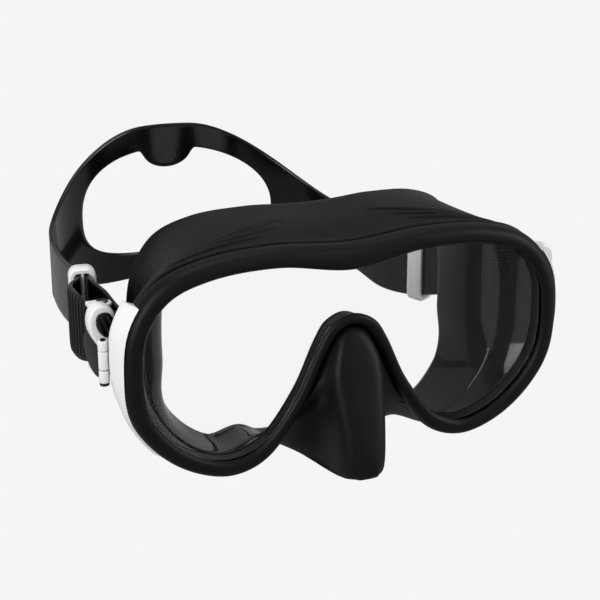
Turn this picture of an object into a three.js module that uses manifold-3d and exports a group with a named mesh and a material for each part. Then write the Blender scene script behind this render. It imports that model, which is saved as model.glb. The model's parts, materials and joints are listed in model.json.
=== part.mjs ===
// Single-lens diving mask: tempered lens, front rim, chassis ring, silicone skirt with a nose
// pocket, folding side buckles and a silicone head strap. Millimetres, +Z up, the lens faces -Y,
// the wearer's right is -X, and the origin is the middle of the face seal.
import * as THREE from 'three';
import { mergeVertices } from 'three/addons/utils/BufferGeometryUtils.js';
import Module from 'manifold-3d';

const wasm = await Module();
wasm.setup();

// ---- driving dimensions -------------------------------------------------------------------
const GAP = 0.3; // between pieces that touch

const WINDOW_HALF_WIDTH = 77; // clear view through the lens
const WINDOW_TOP = 25.4; // crests of the upper edge
const WINDOW_BROW_DIP = 4.2; // how far the upper edge dips in the middle
const WINDOW_BOTTOM = -43.4; // lowest point of each lower lobe
const WINDOW_MID = -6; // height of the widest point
const LOBE_X = 45; // sideways place of each lower lobe
const NOTCH_TOP = 5.4; // top of the nose notch
const NOTCH_HALF_WIDTH = 16.4; // half width of the notch at its middle height

const LENS_FRONT = -46;
const LENS_THICKNESS = 3.5;
const LENS_TUCK = 2.4; // lens edge under the rim lip
const LENS_LAND = 1; // inset of the flat middle field of the lens

const RIM_WIDTH = 6.8;
const RIM_WIDTH_NOSE = 4.8;
const RIM_BROW_EXTRA = 2.4; // the rim is broader over the brow dip
const RIM_BROW_SPREAD = 20;
const RIM_LIP = 2; // thickness of the lip in front of the lens
const RIM_DEPTH = 7;
const RIM_ROUND = 1.6; // chamfer that stands for the rounded outer edges

const CHASSIS_INSET = 1;
const CHASSIS_DEPTH = 4;
const CHASSIS_WALL_CLEARANCE = 2.6; // from the rim's outer edge

const SKIRT_WALL = 1.8;
const SKIRT_SKIN = 0.5; // the skirt stands this far inside the rim's outer edge
const SEAL_HALF_WIDTH = WINDOW_HALF_WIDTH - 11;
const SEAL_TOP = 35;
const SEAL_BOTTOM = -44;
const SEAL_LIP_Z = -46; // seal height under the nose
const SEAL_TEMPLE_Y = 4;
const SEAL_CENTRE_Y = -6;
const SEAL_FLARE = 2.5;

const POCKET_FRONT_Y = -61; // foremost point of the nose pocket
const POCKET_BACK_Y = -45;
const POCKET_HALF_WIDTH = 9.6;
const POCKET_TIP_HALF_WIDTH = 6.8;
const POCKET_NOSE_Z = -44;
const POCKET_BOTTOM_Z = -53;

const STRAP_HEIGHT = 25;
const STRAP_THICKNESS = 1.8;
const RING_U_RADIUS = 65; // bend of the strap round the back of the head
const RING_CENTRE_X = -11.5;
const RING_BACK_Y = 129;
const RING_MID_Z = 1.5;
const RING_OPENING_HALF_LENGTH = 47.5;
const RING_OPENING_HALF_HEIGHT = 23.5;
const RING_BAND = 11;
const RING_SHOULDER_START = 12; // where the ring's outline starts to narrow to the strap
const RING_SHOULDER_END = RING_OPENING_HALF_LENGTH + 37;
const TAB_HALF_WIDTH = 10.5;
const TAB_DROP = 9;

const PIN_X = -(WINDOW_HALF_WIDTH + 6); // roller pin of the right buckle
const PIN_Y = -20;
const PIN_RADIUS = 1.1;
const ROLLER_RADIUS = 2;
const LOOP_REACH = 7; // slack of the strap loop in front of the roller
const ARM_THICKNESS = 2.4;
const ARM_RADIUS = 4.8;
const PLATE_THICKNESS = 3.4;
const HINGE_X = -(WINDOW_HALF_WIDTH + 10.6);
const HINGE_Y = -35.4;
const HINGE_RADIUS = 2.5;
const HINGE_PIN_RADIUS = 1.1;
const HINGE_TOP = 4.6;
const HINGE_BOTTOM = -14;
const KNUCKLE_HEIGHT = 4;
const WING_THICKNESS = 1.6;
const WING_STEP = 2.4; // the wing's front face to where it turns back to the hinge
const HINGE_WEB_OUTER = 1.6; // the web beside the knuckles, either side of the hinge axis
const HINGE_WEB_INNER = 0.8;
const WING_TOP = 20;
const WING_BOTTOM = -36;

const BUTTON_TRAVEL = 1.6;
const BUTTON_WIDTH = 6.4;
const BUTTON_HEIGHT = 7.4;
const RIB_RADIUS = 0.75;
const RIB_INSET = 0.8; // rib ends from the pad's ends
const SPRING_WIRE = 0.3;
const SPRING_RADIUS = 0.95;
const SPRING_TURNS = 5;

const KEEPER_LENGTH = 7;
const KEEPER_WALL = 2;
const KEEPER_POST = 1.2;
const KEEPER_CLEARANCE = 0.45;
const KEEPER_RIGHT_Y = 13;
const KEEPER_LEFT_Y = 31;

const SAMPLES = 128; // points round every ring

// Worked out from the sizes above.
const LENS_BACK = LENS_FRONT + LENS_THICKNESS;
const RIM_FRONT = LENS_FRONT - GAP - RIM_LIP;
const RIM_BACK = RIM_FRONT + RIM_DEPTH;
const CHASSIS_FRONT = LENS_BACK + GAP;
const CHASSIS_BACK = CHASSIS_FRONT + CHASSIS_DEPTH;
const SKIRT_FRONT = RIM_BACK + GAP;
const FLANGE_FRONT = CHASSIS_BACK + GAP;
const LAYER_OFFSET = ROLLER_RADIUS + GAP + STRAP_THICKNESS / 2;
const PLATE_INNER_X = PIN_X - LAYER_OFFSET - STRAP_THICKNESS / 2 - GAP;
const PLATE_OUTER_X = PLATE_INNER_X - PLATE_THICKNESS;
const ARM_Z = STRAP_HEIGHT / 2 + 2 * GAP;

// ---- small tools ---------------------------------------------------------------------------
const mix = (a, b, t) => a + (b - a) * t;
const clamp01 = (t) => Math.min(1, Math.max(0, t));

function smoothstep(a, b, t) {
  const k = clamp01((t - a) / (b - a));
  return k * k * (3 - 2 * k);
}

const mixPoint = (p, q, t) => p.map((value, i) => mix(value, q[i], t));

function signedVolume(positions, index) {
  let volume = 0;
  const corner = (k) => new THREE.Vector3().fromArray(positions, 3 * index[k]);
  for (let i = 0; i < index.length; i += 3) {
    volume += corner(i).dot(corner(i + 1).cross(corner(i + 2))) / 6;
  }
  return volume;
}

// Makes one geometry whose faces point outwards, whichever way its loops ran.
function solid(points, index) {
  const positions = points.flat();
  if (signedVolume(positions, index) < 0) {
    index.reverse();
  }
  const geometry = new THREE.BufferGeometry();
  geometry.setAttribute('position', new THREE.Float32BufferAttribute(positions, 3));
  geometry.setIndex(index);
  return geometry;
}

// Joins closed profile loops, one after another, into a ring that closes on itself.
function ringSolid(profiles) {
  const rows = profiles[0].length;
  const index = [];
  for (let u = 0; u < profiles.length; u++) {
    const next = (u + 1) % profiles.length;
    for (let k = 0; k < rows; k++) {
      const up = (k + 1) % rows;
      const a = u * rows + k;
      const b = next * rows + k;
      const c = next * rows + up;
      const d = u * rows + up;
      index.push(a, b, c, a, c, d);
    }
  }
  return solid(profiles.flat(), index);
}

// Joins loops of equal length and closes the first and the last with a flat cap. flatten gives
// the two coordinates in which a cap is triangulated.
function loftSolid(loops, flatten) {
  const count = loops[0].length;
  const index = [];
  for (let row = 0; row + 1 < loops.length; row++) {
    for (let k = 0; k < count; k++) {
      const next = (k + 1) % count;
      const a = row * count + k;
      const b = row * count + next;
      index.push(a, b, b + count, a, b + count, a + count);
    }
  }
  const corners = (row) => loops[row].map((p) => new THREE.Vector2(...flatten(p)));
  const cap = (row, turned) => {
    for (const face of THREE.ShapeUtils.triangulateShape(corners(row), [])) {
      const [a, b, c] = face.map((k) => k + row * count);
      index.push(...(turned ? [a, c, b] : [a, b, c]));
    }
  };
  const area = (row) => THREE.ShapeUtils.area(corners(row));
  cap(0, area(0) > 0);
  cap(loops.length - 1, area(loops.length - 1) < 0);
  return solid(loops.flat(), index);
}

function toManifold(geometry) {
  const bare = geometry.clone();
  bare.deleteAttribute('normal');
  bare.deleteAttribute('uv');
  const merged = mergeVertices(bare, 1e-4);
  const mesh = new wasm.Mesh({
    numProp: 3,
    vertProperties: new Float32Array(merged.attributes.position.array),
    triVerts: new Uint32Array(merged.index.array),
  });
  return new wasm.Manifold(mesh);
}

function fromManifold(manifold) {
  const mesh = manifold.getMesh();
  const geometry = new THREE.BufferGeometry();
  geometry.setAttribute('position', new THREE.BufferAttribute(mesh.vertProperties, 3));
  geometry.setIndex(new THREE.BufferAttribute(mesh.triVerts, 1));
  return geometry;
}

function combine(added, removed = []) {
  let result = toManifold(added[0]);
  for (const geometry of added.slice(1)) {
    result = result.add(toManifold(geometry));
  }
  for (const geometry of removed) {
    result = result.subtract(toManifold(geometry));
  }
  return fromManifold(result);
}

function mirrored(geometry) {
  const bare = geometry.clone();
  bare.deleteAttribute('normal');
  bare.deleteAttribute('uv');
  const copy = mergeVertices(bare, 1e-4);
  copy.scale(-1, 1, 1);
  copy.index.array.reverse();
  return copy;
}

// A box between two opposite corners.
function boxBetween(low, high) {
  const size = high.map((value, i) => value - low[i]);
  const geometry = new THREE.BoxGeometry(...size);
  geometry.translate(...high.map((value, i) => (value + low[i]) / 2));
  return geometry;
}

// A cylinder standing on +Z between two heights.
function post(x, y, z0, z1, radius, sides = 20) {
  const geometry = new THREE.CylinderGeometry(radius, radius, z1 - z0, sides);
  geometry.rotateX(Math.PI / 2);
  geometry.translate(x, y, (z0 + z1) / 2);
  return geometry;
}

// A shape drawn in the side view (y, z), from x0 to x1.
function sidePlate(shape, x0, x1) {
  const geometry = new THREE.ExtrudeGeometry(shape, {
    depth: x1 - x0,
    bevelEnabled: false,
    curveSegments: 8,
  });
  geometry.applyMatrix4(new THREE.Matrix4().set(0, 0, 1, x0, 1, 0, 0, 0, 0, 1, 0, 0, 0, 0, 0, 1));
  return geometry;
}

// A shape drawn in plan (x, y), from z0 to z1.
function planPlate(shape, z0, z1) {
  const geometry = new THREE.ExtrudeGeometry(shape, {
    depth: z1 - z0,
    bevelEnabled: false,
    curveSegments: 8,
  });
  geometry.translate(0, 0, z0);
  return geometry;
}

// ---- outline of the window -----------------------------------------------------------------
function windowOutline() {
  const half = [
    [0, WINDOW_TOP - WINDOW_BROW_DIP],
    [28, WINDOW_TOP],
    [WINDOW_HALF_WIDTH - 25, WINDOW_TOP - 1.2],
    [WINDOW_HALF_WIDTH - 10, WINDOW_TOP - 6.5],
    [WINDOW_HALF_WIDTH - 2, WINDOW_TOP - 17],
    [WINDOW_HALF_WIDTH, WINDOW_MID],
    [WINDOW_HALF_WIDTH - 1.8, WINDOW_BOTTOM + 22.5],
    [WINDOW_HALF_WIDTH - 9.5, WINDOW_BOTTOM + 11],
    [LOBE_X + 12, WINDOW_BOTTOM + 3.2],
    [LOBE_X, WINDOW_BOTTOM],
    [LOBE_X - 11, WINDOW_BOTTOM + 4.6],
    [NOTCH_HALF_WIDTH + 5.2, (NOTCH_TOP + WINDOW_BOTTOM) / 2 - 4],
    [NOTCH_HALF_WIDTH - 3.2, NOTCH_TOP - 10.6],
    [NOTCH_HALF_WIDTH - 7.8, NOTCH_TOP - 3.6],
    [0, NOTCH_TOP],
  ];
  const other = half.slice(1, -1).reverse().map(([x, z]) => [-x, z]);
  const points = [...half, ...other].map(([x, z]) => new THREE.Vector3(x, 0, z));
  const curve = new THREE.CatmullRomCurve3(points, true, 'centripetal');
  curve.arcLengthDivisions = 2000;
  return curve.getSpacedPoints(SAMPLES).slice(0, SAMPLES);
}

// Every station of the outline: its point, its outward normal and how far into the notch it is.
function outlineStations() {
  const points = windowOutline();
  const apex = SAMPLES / 2;
  let lobe = 0;
  for (let i = 0; i < apex; i++) {
    if (points[i].z < points[lobe].z) {
      lobe = i;
    }
  }
  return points.map((point, i) => {
    const before = points[(i + SAMPLES - 1) % SAMPLES];
    const after = points[(i + 1) % SAMPLES];
    const tangent = after.clone().sub(before).normalize();
    const notch = clamp01(1 - Math.abs(i - apex) / (apex - lobe));
    const brow = point.z > 0 && notch === 0 ? Math.exp(-((point.x / RIM_BROW_SPREAD) ** 2)) : 0;
    const rim = mix(RIM_WIDTH, RIM_WIDTH_NOSE, smoothstep(0.1, 0.4, notch)) + RIM_BROW_EXTRA * brow;
    return { x: point.x, z: point.z, nx: -tangent.z, nz: tangent.x, notch, brow, rim };
  });
}

const stations = outlineStations();

const offset = (s, distance, y) => [s.x + s.nx * distance, y, s.z + s.nz * distance];

// A ring whose profile is given, at each station, as pairs of offset and depth.
function outlineRing(profileAt) {
  return ringSolid(stations.map((s) => profileAt(s).map(([d, y]) => offset(s, d, y))));
}

// ---- the pieces of the mask body -----------------------------------------------------------
function lensSolid() {
  const loop = (distance, y) => stations.map((s) => offset(s, distance, y));
  const loops = [
    loop(LENS_TUCK, LENS_BACK),
    loop(LENS_TUCK, LENS_FRONT),
    loop(-LENS_LAND, LENS_FRONT),
  ];
  return loftSolid(loops, ([x, , z]) => [x, z]);
}

function rimSolid() {
  const seat = LENS_FRONT - GAP;
  return outlineRing((s) => [
    [0, seat],
    [0, RIM_FRONT + RIM_ROUND],
    [RIM_ROUND, RIM_FRONT],
    [s.rim - RIM_ROUND, RIM_FRONT],
    [s.rim, RIM_FRONT + RIM_ROUND],
    [s.rim, RIM_BACK],
    [LENS_TUCK + GAP, RIM_BACK],
    [LENS_TUCK + GAP, seat],
  ]);
}

function chassisSolid() {
  return outlineRing((s) => {
    const outer = Math.max(s.rim - CHASSIS_WALL_CLEARANCE, CHASSIS_INSET + 1);
    return [
      [CHASSIS_INSET, CHASSIS_FRONT],
      [LENS_TUCK - GAP, CHASSIS_FRONT],
      [LENS_TUCK - GAP, RIM_BACK + GAP],
      [outer, RIM_BACK + GAP],
      [outer, CHASSIS_BACK],
      [CHASSIS_INSET, CHASSIS_BACK],
    ];
  });
}

// How far the skirt's wall has narrowed from the rim to the face seal, and at which depth.
const WALL_ROWS = [
  [0.1, -35.5],
  [0.34, -31.5],
  [0.58, -26],
  [0.78, -19],
  [0.92, -12],
];

// Outer face of the skirt at one station, from the rim to the edge of the face seal.
function wallRows(s) {
  const sideScale = SEAL_HALF_WIDTH / WINDOW_HALF_WIDTH;
  const level = s.z > 0 ? SEAL_TOP / WINDOW_TOP : SEAL_BOTTOM / WINDOW_BOTTOM;
  const under = smoothstep(0, 0.35, s.notch);
  const browFill = s.brow * WINDOW_BROW_DIP * level;
  const seal = [s.x * sideScale, 0, mix(s.z * level + browFill, SEAL_LIP_Z, under)];
  const across = (s.x / WINDOW_HALF_WIDTH) ** 2;
  seal[1] = mix(SEAL_CENTRE_Y, SEAL_TEMPLE_Y, across);
  const root = offset(s, s.rim - SKIRT_SKIN, 0);
  const at = (t, y) => {
    const p = mixPoint(root, seal, t);
    return [p[0], y, p[2]];
  };
  const flare = [seal[0] + Math.sign(s.x) * SEAL_FLARE * across, seal[1], seal[2]];
  return [
    offset(s, s.rim - SKIRT_SKIN, SKIRT_FRONT),
    offset(s, s.rim - SKIRT_SKIN, SKIRT_FRONT + 2),
    ...WALL_ROWS.map(([share, y]) => at(share, y)),
    at(1, seal[1] - 3),
    flare,
  ];
}

// Outer face of the nose pocket at one station, from the notch down to the seal under the nose.
function pocketRows(s) {
  const turn = (Math.PI / 2) * clamp01((1 - s.notch) / 0.7);
  const side = Math.sign(s.x) * Math.sin(turn) ** 0.75;
  const ahead = Math.cos(turn) ** 0.6;
  const level = (halfWidth, front, back, z) => [side * halfWidth, mix(back, front, ahead), z];
  const wall = wallRows(s);
  const reach = (t) => mix(LENS_FRONT - 1, POCKET_FRONT_Y, t);
  return [
    offset(s, s.rim - SKIRT_SKIN, SKIRT_FRONT),
    offset(s, s.rim + GAP + 0.2, SKIRT_FRONT),
    offset(s, s.rim + GAP + 0.3, LENS_FRONT - 1.5),
    level(POCKET_HALF_WIDTH + 1, reach(0.45), POCKET_BACK_Y, mix(NOTCH_TOP, POCKET_NOSE_Z, 0.55)),
    level(POCKET_HALF_WIDTH, POCKET_FRONT_Y, POCKET_BACK_Y, POCKET_NOSE_Z),
    level(POCKET_TIP_HALF_WIDTH, POCKET_FRONT_Y + 3, POCKET_BACK_Y + 4, POCKET_BOTTOM_Z),
    level(POCKET_TIP_HALF_WIDTH + 3, POCKET_BACK_Y + 4, POCKET_BACK_Y + 12, POCKET_BOTTOM_Z - 0.5),
    [wall[7][0], -18, mix(POCKET_BOTTOM_Z, SEAL_LIP_Z, 0.5)],
    wall[8],
  ];
}

// The skirt leaves the rim's back at the sides of the notch: it first steps inside the rim's
// edge, and only then comes forward, so that it never meets the rim.
const steppedInside = (s) => smoothstep(0.1, 0.28, s.notch);
const broughtForward = (s) => smoothstep(0.28, 0.62, s.notch);

function outerRows(s) {
  const inside = steppedInside(s);
  const forward = broughtForward(s);
  const wall = wallRows(s);
  const rows = pocketRows(s).map((p, k) => mixPoint(wall[k], p, forward));
  const clear = mix(s.rim - SKIRT_SKIN, s.rim + GAP + 0.2, inside);
  rows[1] = offset(s, clear, mix(SKIRT_FRONT + 2, SKIRT_FRONT, inside));
  rows[2] = offset(s, clear + 0.1, mix(SKIRT_FRONT + 5, LENS_FRONT - 1.5, forward));
  return rows;
}

function skirtSolid() {
  const outer = stations.map(outerRows);
  const rows = outer[0].length;
  const vector = (p, q) => new THREE.Vector3(q[0] - p[0], q[1] - p[1], q[2] - p[2]);
  const inward = (u, k) => {
    const before = outer[(u + SAMPLES - 1) % SAMPLES][k];
    const after = outer[(u + 1) % SAMPLES][k];
    const front = outer[u][Math.max(k - 1, 0)];
    const back = outer[u][Math.min(k + 1, rows - 1)];
    const normal = vector(front, back).cross(vector(before, after)).normalize();
    return outer[u][k].map((value, i) => value + SKIRT_WALL * normal.getComponent(i));
  };
  return ringSolid(stations.map((s, u) => {
    const inner = outer[u].map((_, k) => inward(u, k));
    const groove = s.rim - CHASSIS_WALL_CLEARANCE + GAP + 0.1;
    const wide = s.rim - SKIRT_SKIN - SKIRT_WALL - 0.4;
    const throat = mix(wide, s.rim + GAP + SKIRT_WALL, steppedInside(s));
    return [
      ...outer[u],
      ...inner.slice(2).reverse(),
      offset(s, throat, FLANGE_FRONT + SKIRT_WALL),
      offset(s, CHASSIS_INSET, FLANGE_FRONT + SKIRT_WALL),
      offset(s, CHASSIS_INSET, FLANGE_FRONT),
      offset(s, groove, FLANGE_FRONT),
      offset(s, groove, SKIRT_FRONT),
    ];
  }));
}

// ---- side wings and their hinges -----------------------------------------------------------
// The buckle hardware is drawn on the wearer's right (-X) and mirrored for the left.
const BUCKLE_KNUCKLE = [HINGE_BOTTOM + KNUCKLE_HEIGHT + GAP, HINGE_TOP - KNUCKLE_HEIGHT - GAP];
const WING_FRONT = RIM_BACK + GAP;
const KNUCKLE_CUT_RADIUS = HINGE_RADIUS + GAP;

function wingShell() {
  const beside = (s) => s.x < 0 && s.notch === 0 && s.z > WING_BOTTOM && s.z < WING_TOP;
  const side = stations.filter(beside);
  const inset = GAP - SKIRT_SKIN;
  const sections = side.map((s) => {
    const low = smoothstep(WING_BOTTOM, HINGE_BOTTOM + 2, s.z);
    const high = 1 - smoothstep(HINGE_TOP - 2, WING_TOP, s.z);
    const reach = low * high;
    const rearY = WING_FRONT + WING_STEP;
    const edgeY = HINGE_Y - HINGE_RADIUS + 0.6;
    const outerEdge = [HINGE_X - HINGE_WEB_OUTER, edgeY, s.z];
    const innerEdge = [HINGE_X + HINGE_WEB_INNER, edgeY, s.z];
    return [
      offset(s, s.rim + inset, WING_FRONT),
      offset(s, s.rim + inset + WING_THICKNESS, WING_FRONT),
      mixPoint(offset(s, s.rim + inset + WING_THICKNESS + 0.2, rearY), outerEdge, reach),
      mixPoint(offset(s, s.rim + inset, rearY), innerEdge, reach),
    ];
  });
  return loftSolid(sections, ([x, y]) => [x, y]);
}

function hingeKnuckle(z0, z1) {
  const web = boxBetween(
    [HINGE_X - HINGE_WEB_OUTER, HINGE_Y - HINGE_RADIUS, z0],
    [HINGE_X + HINGE_WEB_INNER, HINGE_Y, z1],
  );
  return [post(HINGE_X, HINGE_Y, z0, z1, HINGE_RADIUS), web];
}

function wingSolid() {
  const knuckles = [
    ...hingeKnuckle(HINGE_BOTTOM, HINGE_BOTTOM + KNUCKLE_HEIGHT),
    ...hingeKnuckle(HINGE_TOP - KNUCKLE_HEIGHT, HINGE_TOP),
  ];
  const [low, high] = BUCKLE_KNUCKLE;
  return combine([wingShell(), ...knuckles], [
    post(HINGE_X, HINGE_Y, low - GAP, high + GAP, KNUCKLE_CUT_RADIUS),
    post(HINGE_X, HINGE_Y, HINGE_BOTTOM - 1, HINGE_TOP + 1, HINGE_PIN_RADIUS + GAP),
  ]);
}

function hingePinSolid() {
  const head = post(HINGE_X, HINGE_Y, HINGE_BOTTOM - GAP - 1, HINGE_BOTTOM - GAP, HINGE_RADIUS - 0.8);
  const shank = post(HINGE_X, HINGE_Y, HINGE_BOTTOM - GAP - 0.5, HINGE_TOP, HINGE_PIN_RADIUS);
  return combine([head, shank]);
}

// ---- buckles ---------------------------------------------------------------------------------
const PLATE_FRONT_Y = HINGE_Y + HINGE_RADIUS + 2 * GAP;
const PLATE_BACK_Y = PIN_Y + ARM_RADIUS + 2.6;
const PLATE_HALF_HEIGHT = ARM_Z + ARM_THICKNESS;
const POCKET_FLOOR_X = PLATE_INNER_X - 0.9;
const BUTTON_LOW_Z = 5.2;
const BUTTON_CENTRE_Y = PLATE_FRONT_Y + BUTTON_WIDTH / 2;
const BUTTON_TOP_Z = BUTTON_LOW_Z + BUTTON_HEIGHT;
const SPRING_X = (POCKET_FLOOR_X + PLATE_OUTER_X) / 2;
const SPRING_BOTTOM_Z = -1.2;
const SPRING_HOLE_RADIUS = SPRING_RADIUS + SPRING_WIRE + GAP;
const COVER_RECESS = 0.7;
const COVER_THICKNESS = 1.2;

// Side view (y, z) of the buckle's outer plate: a round head over the pin and a leaf-shaped tail.
function plateShape() {
  const shape = new THREE.Shape();
  shape.moveTo(PLATE_FRONT_Y, -PLATE_HALF_HEIGHT + 3);
  shape.quadraticCurveTo(PLATE_FRONT_Y, -PLATE_HALF_HEIGHT, PLATE_FRONT_Y + 4, -PLATE_HALF_HEIGHT);
  shape.lineTo(PIN_Y + 1, -PLATE_HALF_HEIGHT);
  shape.quadraticCurveTo(PLATE_BACK_Y - 1, -PLATE_HALF_HEIGHT + 1, PLATE_BACK_Y, -4);
  shape.quadraticCurveTo(PLATE_BACK_Y, 3, PIN_Y + ARM_RADIUS, PLATE_HALF_HEIGHT - ARM_RADIUS);
  shape.absarc(PIN_Y, PLATE_HALF_HEIGHT - ARM_RADIUS, ARM_RADIUS, 0, Math.PI / 2, false);
  shape.lineTo(PLATE_FRONT_Y + 3, PLATE_HALF_HEIGHT);
  shape.quadraticCurveTo(PLATE_FRONT_Y, PLATE_HALF_HEIGHT, PLATE_FRONT_Y, PLATE_HALF_HEIGHT - 3);
  shape.closePath();
  return shape;
}

// Plan view (x, y) of an arm: a bar off the plate with a round end over the pin.
function armShape() {
  const shape = new THREE.Shape();
  shape.moveTo(PLATE_INNER_X - 1, PIN_Y - ARM_RADIUS);
  shape.lineTo(PIN_X, PIN_Y - ARM_RADIUS);
  shape.absarc(PIN_X, PIN_Y, ARM_RADIUS, -Math.PI / 2, Math.PI / 2, false);
  shape.lineTo(PLATE_INNER_X - 1, PIN_Y + ARM_RADIUS);
  shape.closePath();
  return shape;
}

// Leaf of the outer cover, grown by the clearance where it is the recess.
function leafShape(grow) {
  const top = [PLATE_BACK_Y - 3 + grow / 2, 2.5 + grow];
  const tip = [PLATE_FRONT_Y + 5 - grow, -PLATE_HALF_HEIGHT + 2 - grow];
  const shape = new THREE.Shape();
  shape.moveTo(...top);
  shape.quadraticCurveTo(PIN_Y - 3 - grow, 0.5 + grow, ...tip);
  shape.quadraticCurveTo(PLATE_BACK_Y - 1 + grow, -PLATE_HALF_HEIGHT + 2 - grow, ...top);
  return shape;
}

function buckleSolid() {
  const arm = (z) => planPlate(armShape(), z, z + ARM_THICKNESS);
  const [low, high] = BUCKLE_KNUCKLE;
  const web = boxBetween(
    [PLATE_OUTER_X + 0.6, HINGE_Y, low],
    [PLATE_INNER_X + 1, PLATE_FRONT_Y + 1, high],
  );
  const pocketBottom = BUTTON_LOW_Z - BUTTON_TRAVEL - GAP;
  const pocket = boxBetween(
    [PLATE_OUTER_X - 1, PLATE_FRONT_Y - 1, pocketBottom],
    [POCKET_FLOOR_X, PLATE_FRONT_Y + BUTTON_WIDTH + GAP, PLATE_HALF_HEIGHT + 1],
  );
  return combine(
    [
      sidePlate(plateShape(), PLATE_OUTER_X, PLATE_INNER_X),
      arm(ARM_Z),
      arm(-ARM_Z - ARM_THICKNESS),
      post(HINGE_X, HINGE_Y, low, high, HINGE_RADIUS),
      web,
    ],
    [
      pocket,
      sidePlate(leafShape(GAP), PLATE_OUTER_X - 1, PLATE_OUTER_X + COVER_RECESS),
      post(PIN_X, PIN_Y, -PLATE_HALF_HEIGHT - 1, PLATE_HALF_HEIGHT + 1, PIN_RADIUS + GAP / 2),
      post(HINGE_X, HINGE_Y, low - 1, high + 1, HINGE_PIN_RADIUS + GAP),
      post(SPRING_X, BUTTON_CENTRE_Y, SPRING_BOTTOM_Z, pocketBottom + 1, SPRING_HOLE_RADIUS),
    ],
  );
}

function buckleCoverSolid() {
  const inner = PLATE_OUTER_X + COVER_RECESS - GAP;
  return sidePlate(leafShape(0), inner - COVER_THICKNESS, inner);
}

function rollerPinSolid() {
  return post(PIN_X, PIN_Y, -PLATE_HALF_HEIGHT, PLATE_HALF_HEIGHT, PIN_RADIUS);
}

function rollerSolid() {
  const tube = post(PIN_X, PIN_Y, -ARM_Z + GAP, ARM_Z - GAP, ROLLER_RADIUS, 24);
  const bore = post(PIN_X, PIN_Y, -ARM_Z, ARM_Z, PIN_RADIUS + GAP, 24);
  return combine([tube], [bore]);
}

// Thumb pad with three rounded ribs across its outer face.
function releaseButtonSolid() {
  const front = PLATE_FRONT_Y + GAP;
  const outer = PLATE_OUTER_X - 0.5;
  const width = BUTTON_WIDTH - GAP;
  const pad = boxBetween(
    [outer, front, BUTTON_LOW_Z],
    [POCKET_FLOOR_X - GAP, front + width, BUTTON_TOP_Z],
  );
  const ribs = [1, 3, 5].map((step) => {
    const y = front + (step * width) / 6;
    return post(outer, y, BUTTON_LOW_Z + RIB_INSET, BUTTON_TOP_Z - RIB_INSET, RIB_RADIUS, 12);
  });
  return combine([pad, ...ribs]);
}

function buttonSpringSolid() {
  const stepsPerTurn = 8;
  const steps = SPRING_TURNS * stepsPerTurn;
  const bottom = SPRING_BOTTOM_Z + GAP + SPRING_WIRE;
  const top = BUTTON_LOW_Z - GAP - SPRING_WIRE;
  const points = [];
  for (let i = 0; i <= steps; i++) {
    const turn = (2 * Math.PI * i) / stepsPerTurn;
    const x = SPRING_X + SPRING_RADIUS * Math.cos(turn);
    const y = BUTTON_CENTRE_Y + SPRING_RADIUS * Math.sin(turn);
    points.push(new THREE.Vector3(x, y, mix(bottom, top, i / steps)));
  }
  const wire = new THREE.Shape();
  wire.absarc(0, 0, SPRING_WIRE, 0, 2 * Math.PI, false);
  return new THREE.ExtrudeGeometry(wire, {
    steps,
    curveSegments: 3,
    bevelEnabled: false,
    extrudePath: new THREE.CatmullRomCurve3(points),
  });
}

// ---- strap -----------------------------------------------------------------------------------
// The main layer runs from the right buckle round the back of the head to the left buckle. The
// strap hangs loose, so it swings inwards and droops on the wearer's left.
const MAIN_X = Math.abs(PIN_X) - LAYER_OFFSET;
const TAIL_X = Math.abs(PIN_X) + LAYER_OFFSET;
const BEND_Y = PIN_Y - LOOP_REACH;
const KEEPER_PITCH = STRAP_THICKNESS + 2 * KEEPER_CLEARANCE + KEEPER_POST;
const RING_CENTRE_Y = RING_BACK_Y - RING_U_RADIUS;

function strapRoute() {
  const points = [
    [-MAIN_X, BEND_Y, 0],
    [-MAIN_X, PIN_Y, 0],
    [-MAIN_X, PIN_Y + 12, 0],
    [-MAIN_X + 0.6, KEEPER_RIGHT_Y - 6, 0],
    [-MAIN_X + 1, KEEPER_RIGHT_Y + 6, 0],
    [-MAIN_X + 2.3, 40, 0],
  ];
  const bends = 12;
  for (let i = 0; i <= bends; i++) {
    const turn = Math.PI * (1 - i / bends);
    const droop = i < bends / 2 ? 0 : -8 * smoothstep(bends / 2, bends, i);
    points.push([
      RING_CENTRE_X + RING_U_RADIUS * Math.cos(turn),
      RING_CENTRE_Y + RING_U_RADIUS * Math.sin(turn),
      RING_MID_Z * Math.sin(turn) + droop,
    ]);
  }
  points.push(
    [MAIN_X - 22.8, 48, -11],
    [MAIN_X - 17, 36, -11],
    [MAIN_X - 11.8, 25, -8.5],
    [MAIN_X - 5.8, 11, -4.5],
    [MAIN_X - 1.6, -1, -1],
    [MAIN_X, PIN_Y + 10, 0],
    [MAIN_X, PIN_Y, 0],
    [MAIN_X, BEND_Y, 0],
  );
  const curve = new THREE.CatmullRomCurve3(points.map((p) => new THREE.Vector3(...p)));
  curve.arcLengthDivisions = 1500;
  return curve;
}

const route = strapRoute();
const ROUTE_LENGTH = route.getLength();

// A point of the main layer at a distance from the right buckle: its place and plan directions.
function routeAt(distance) {
  const t = clamp01(distance / ROUTE_LENGTH);
  const p = route.getPointAt(t);
  const along = route.getTangentAt(t).setZ(0).normalize();
  return { p, along, out: new THREE.Vector3(-along.y, along.x, 0) };
}

// The distance along the route at which a test first holds, from a starting distance.
function distanceWhere(test, from, to) {
  const step = (to - from) / 2000;
  for (let i = 0; i <= 2000; i++) {
    if (test(routeAt(from + i * step).p)) {
      return from + i * step;
    }
  }
  throw new Error('the strap route never reaches that place');
}

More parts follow.
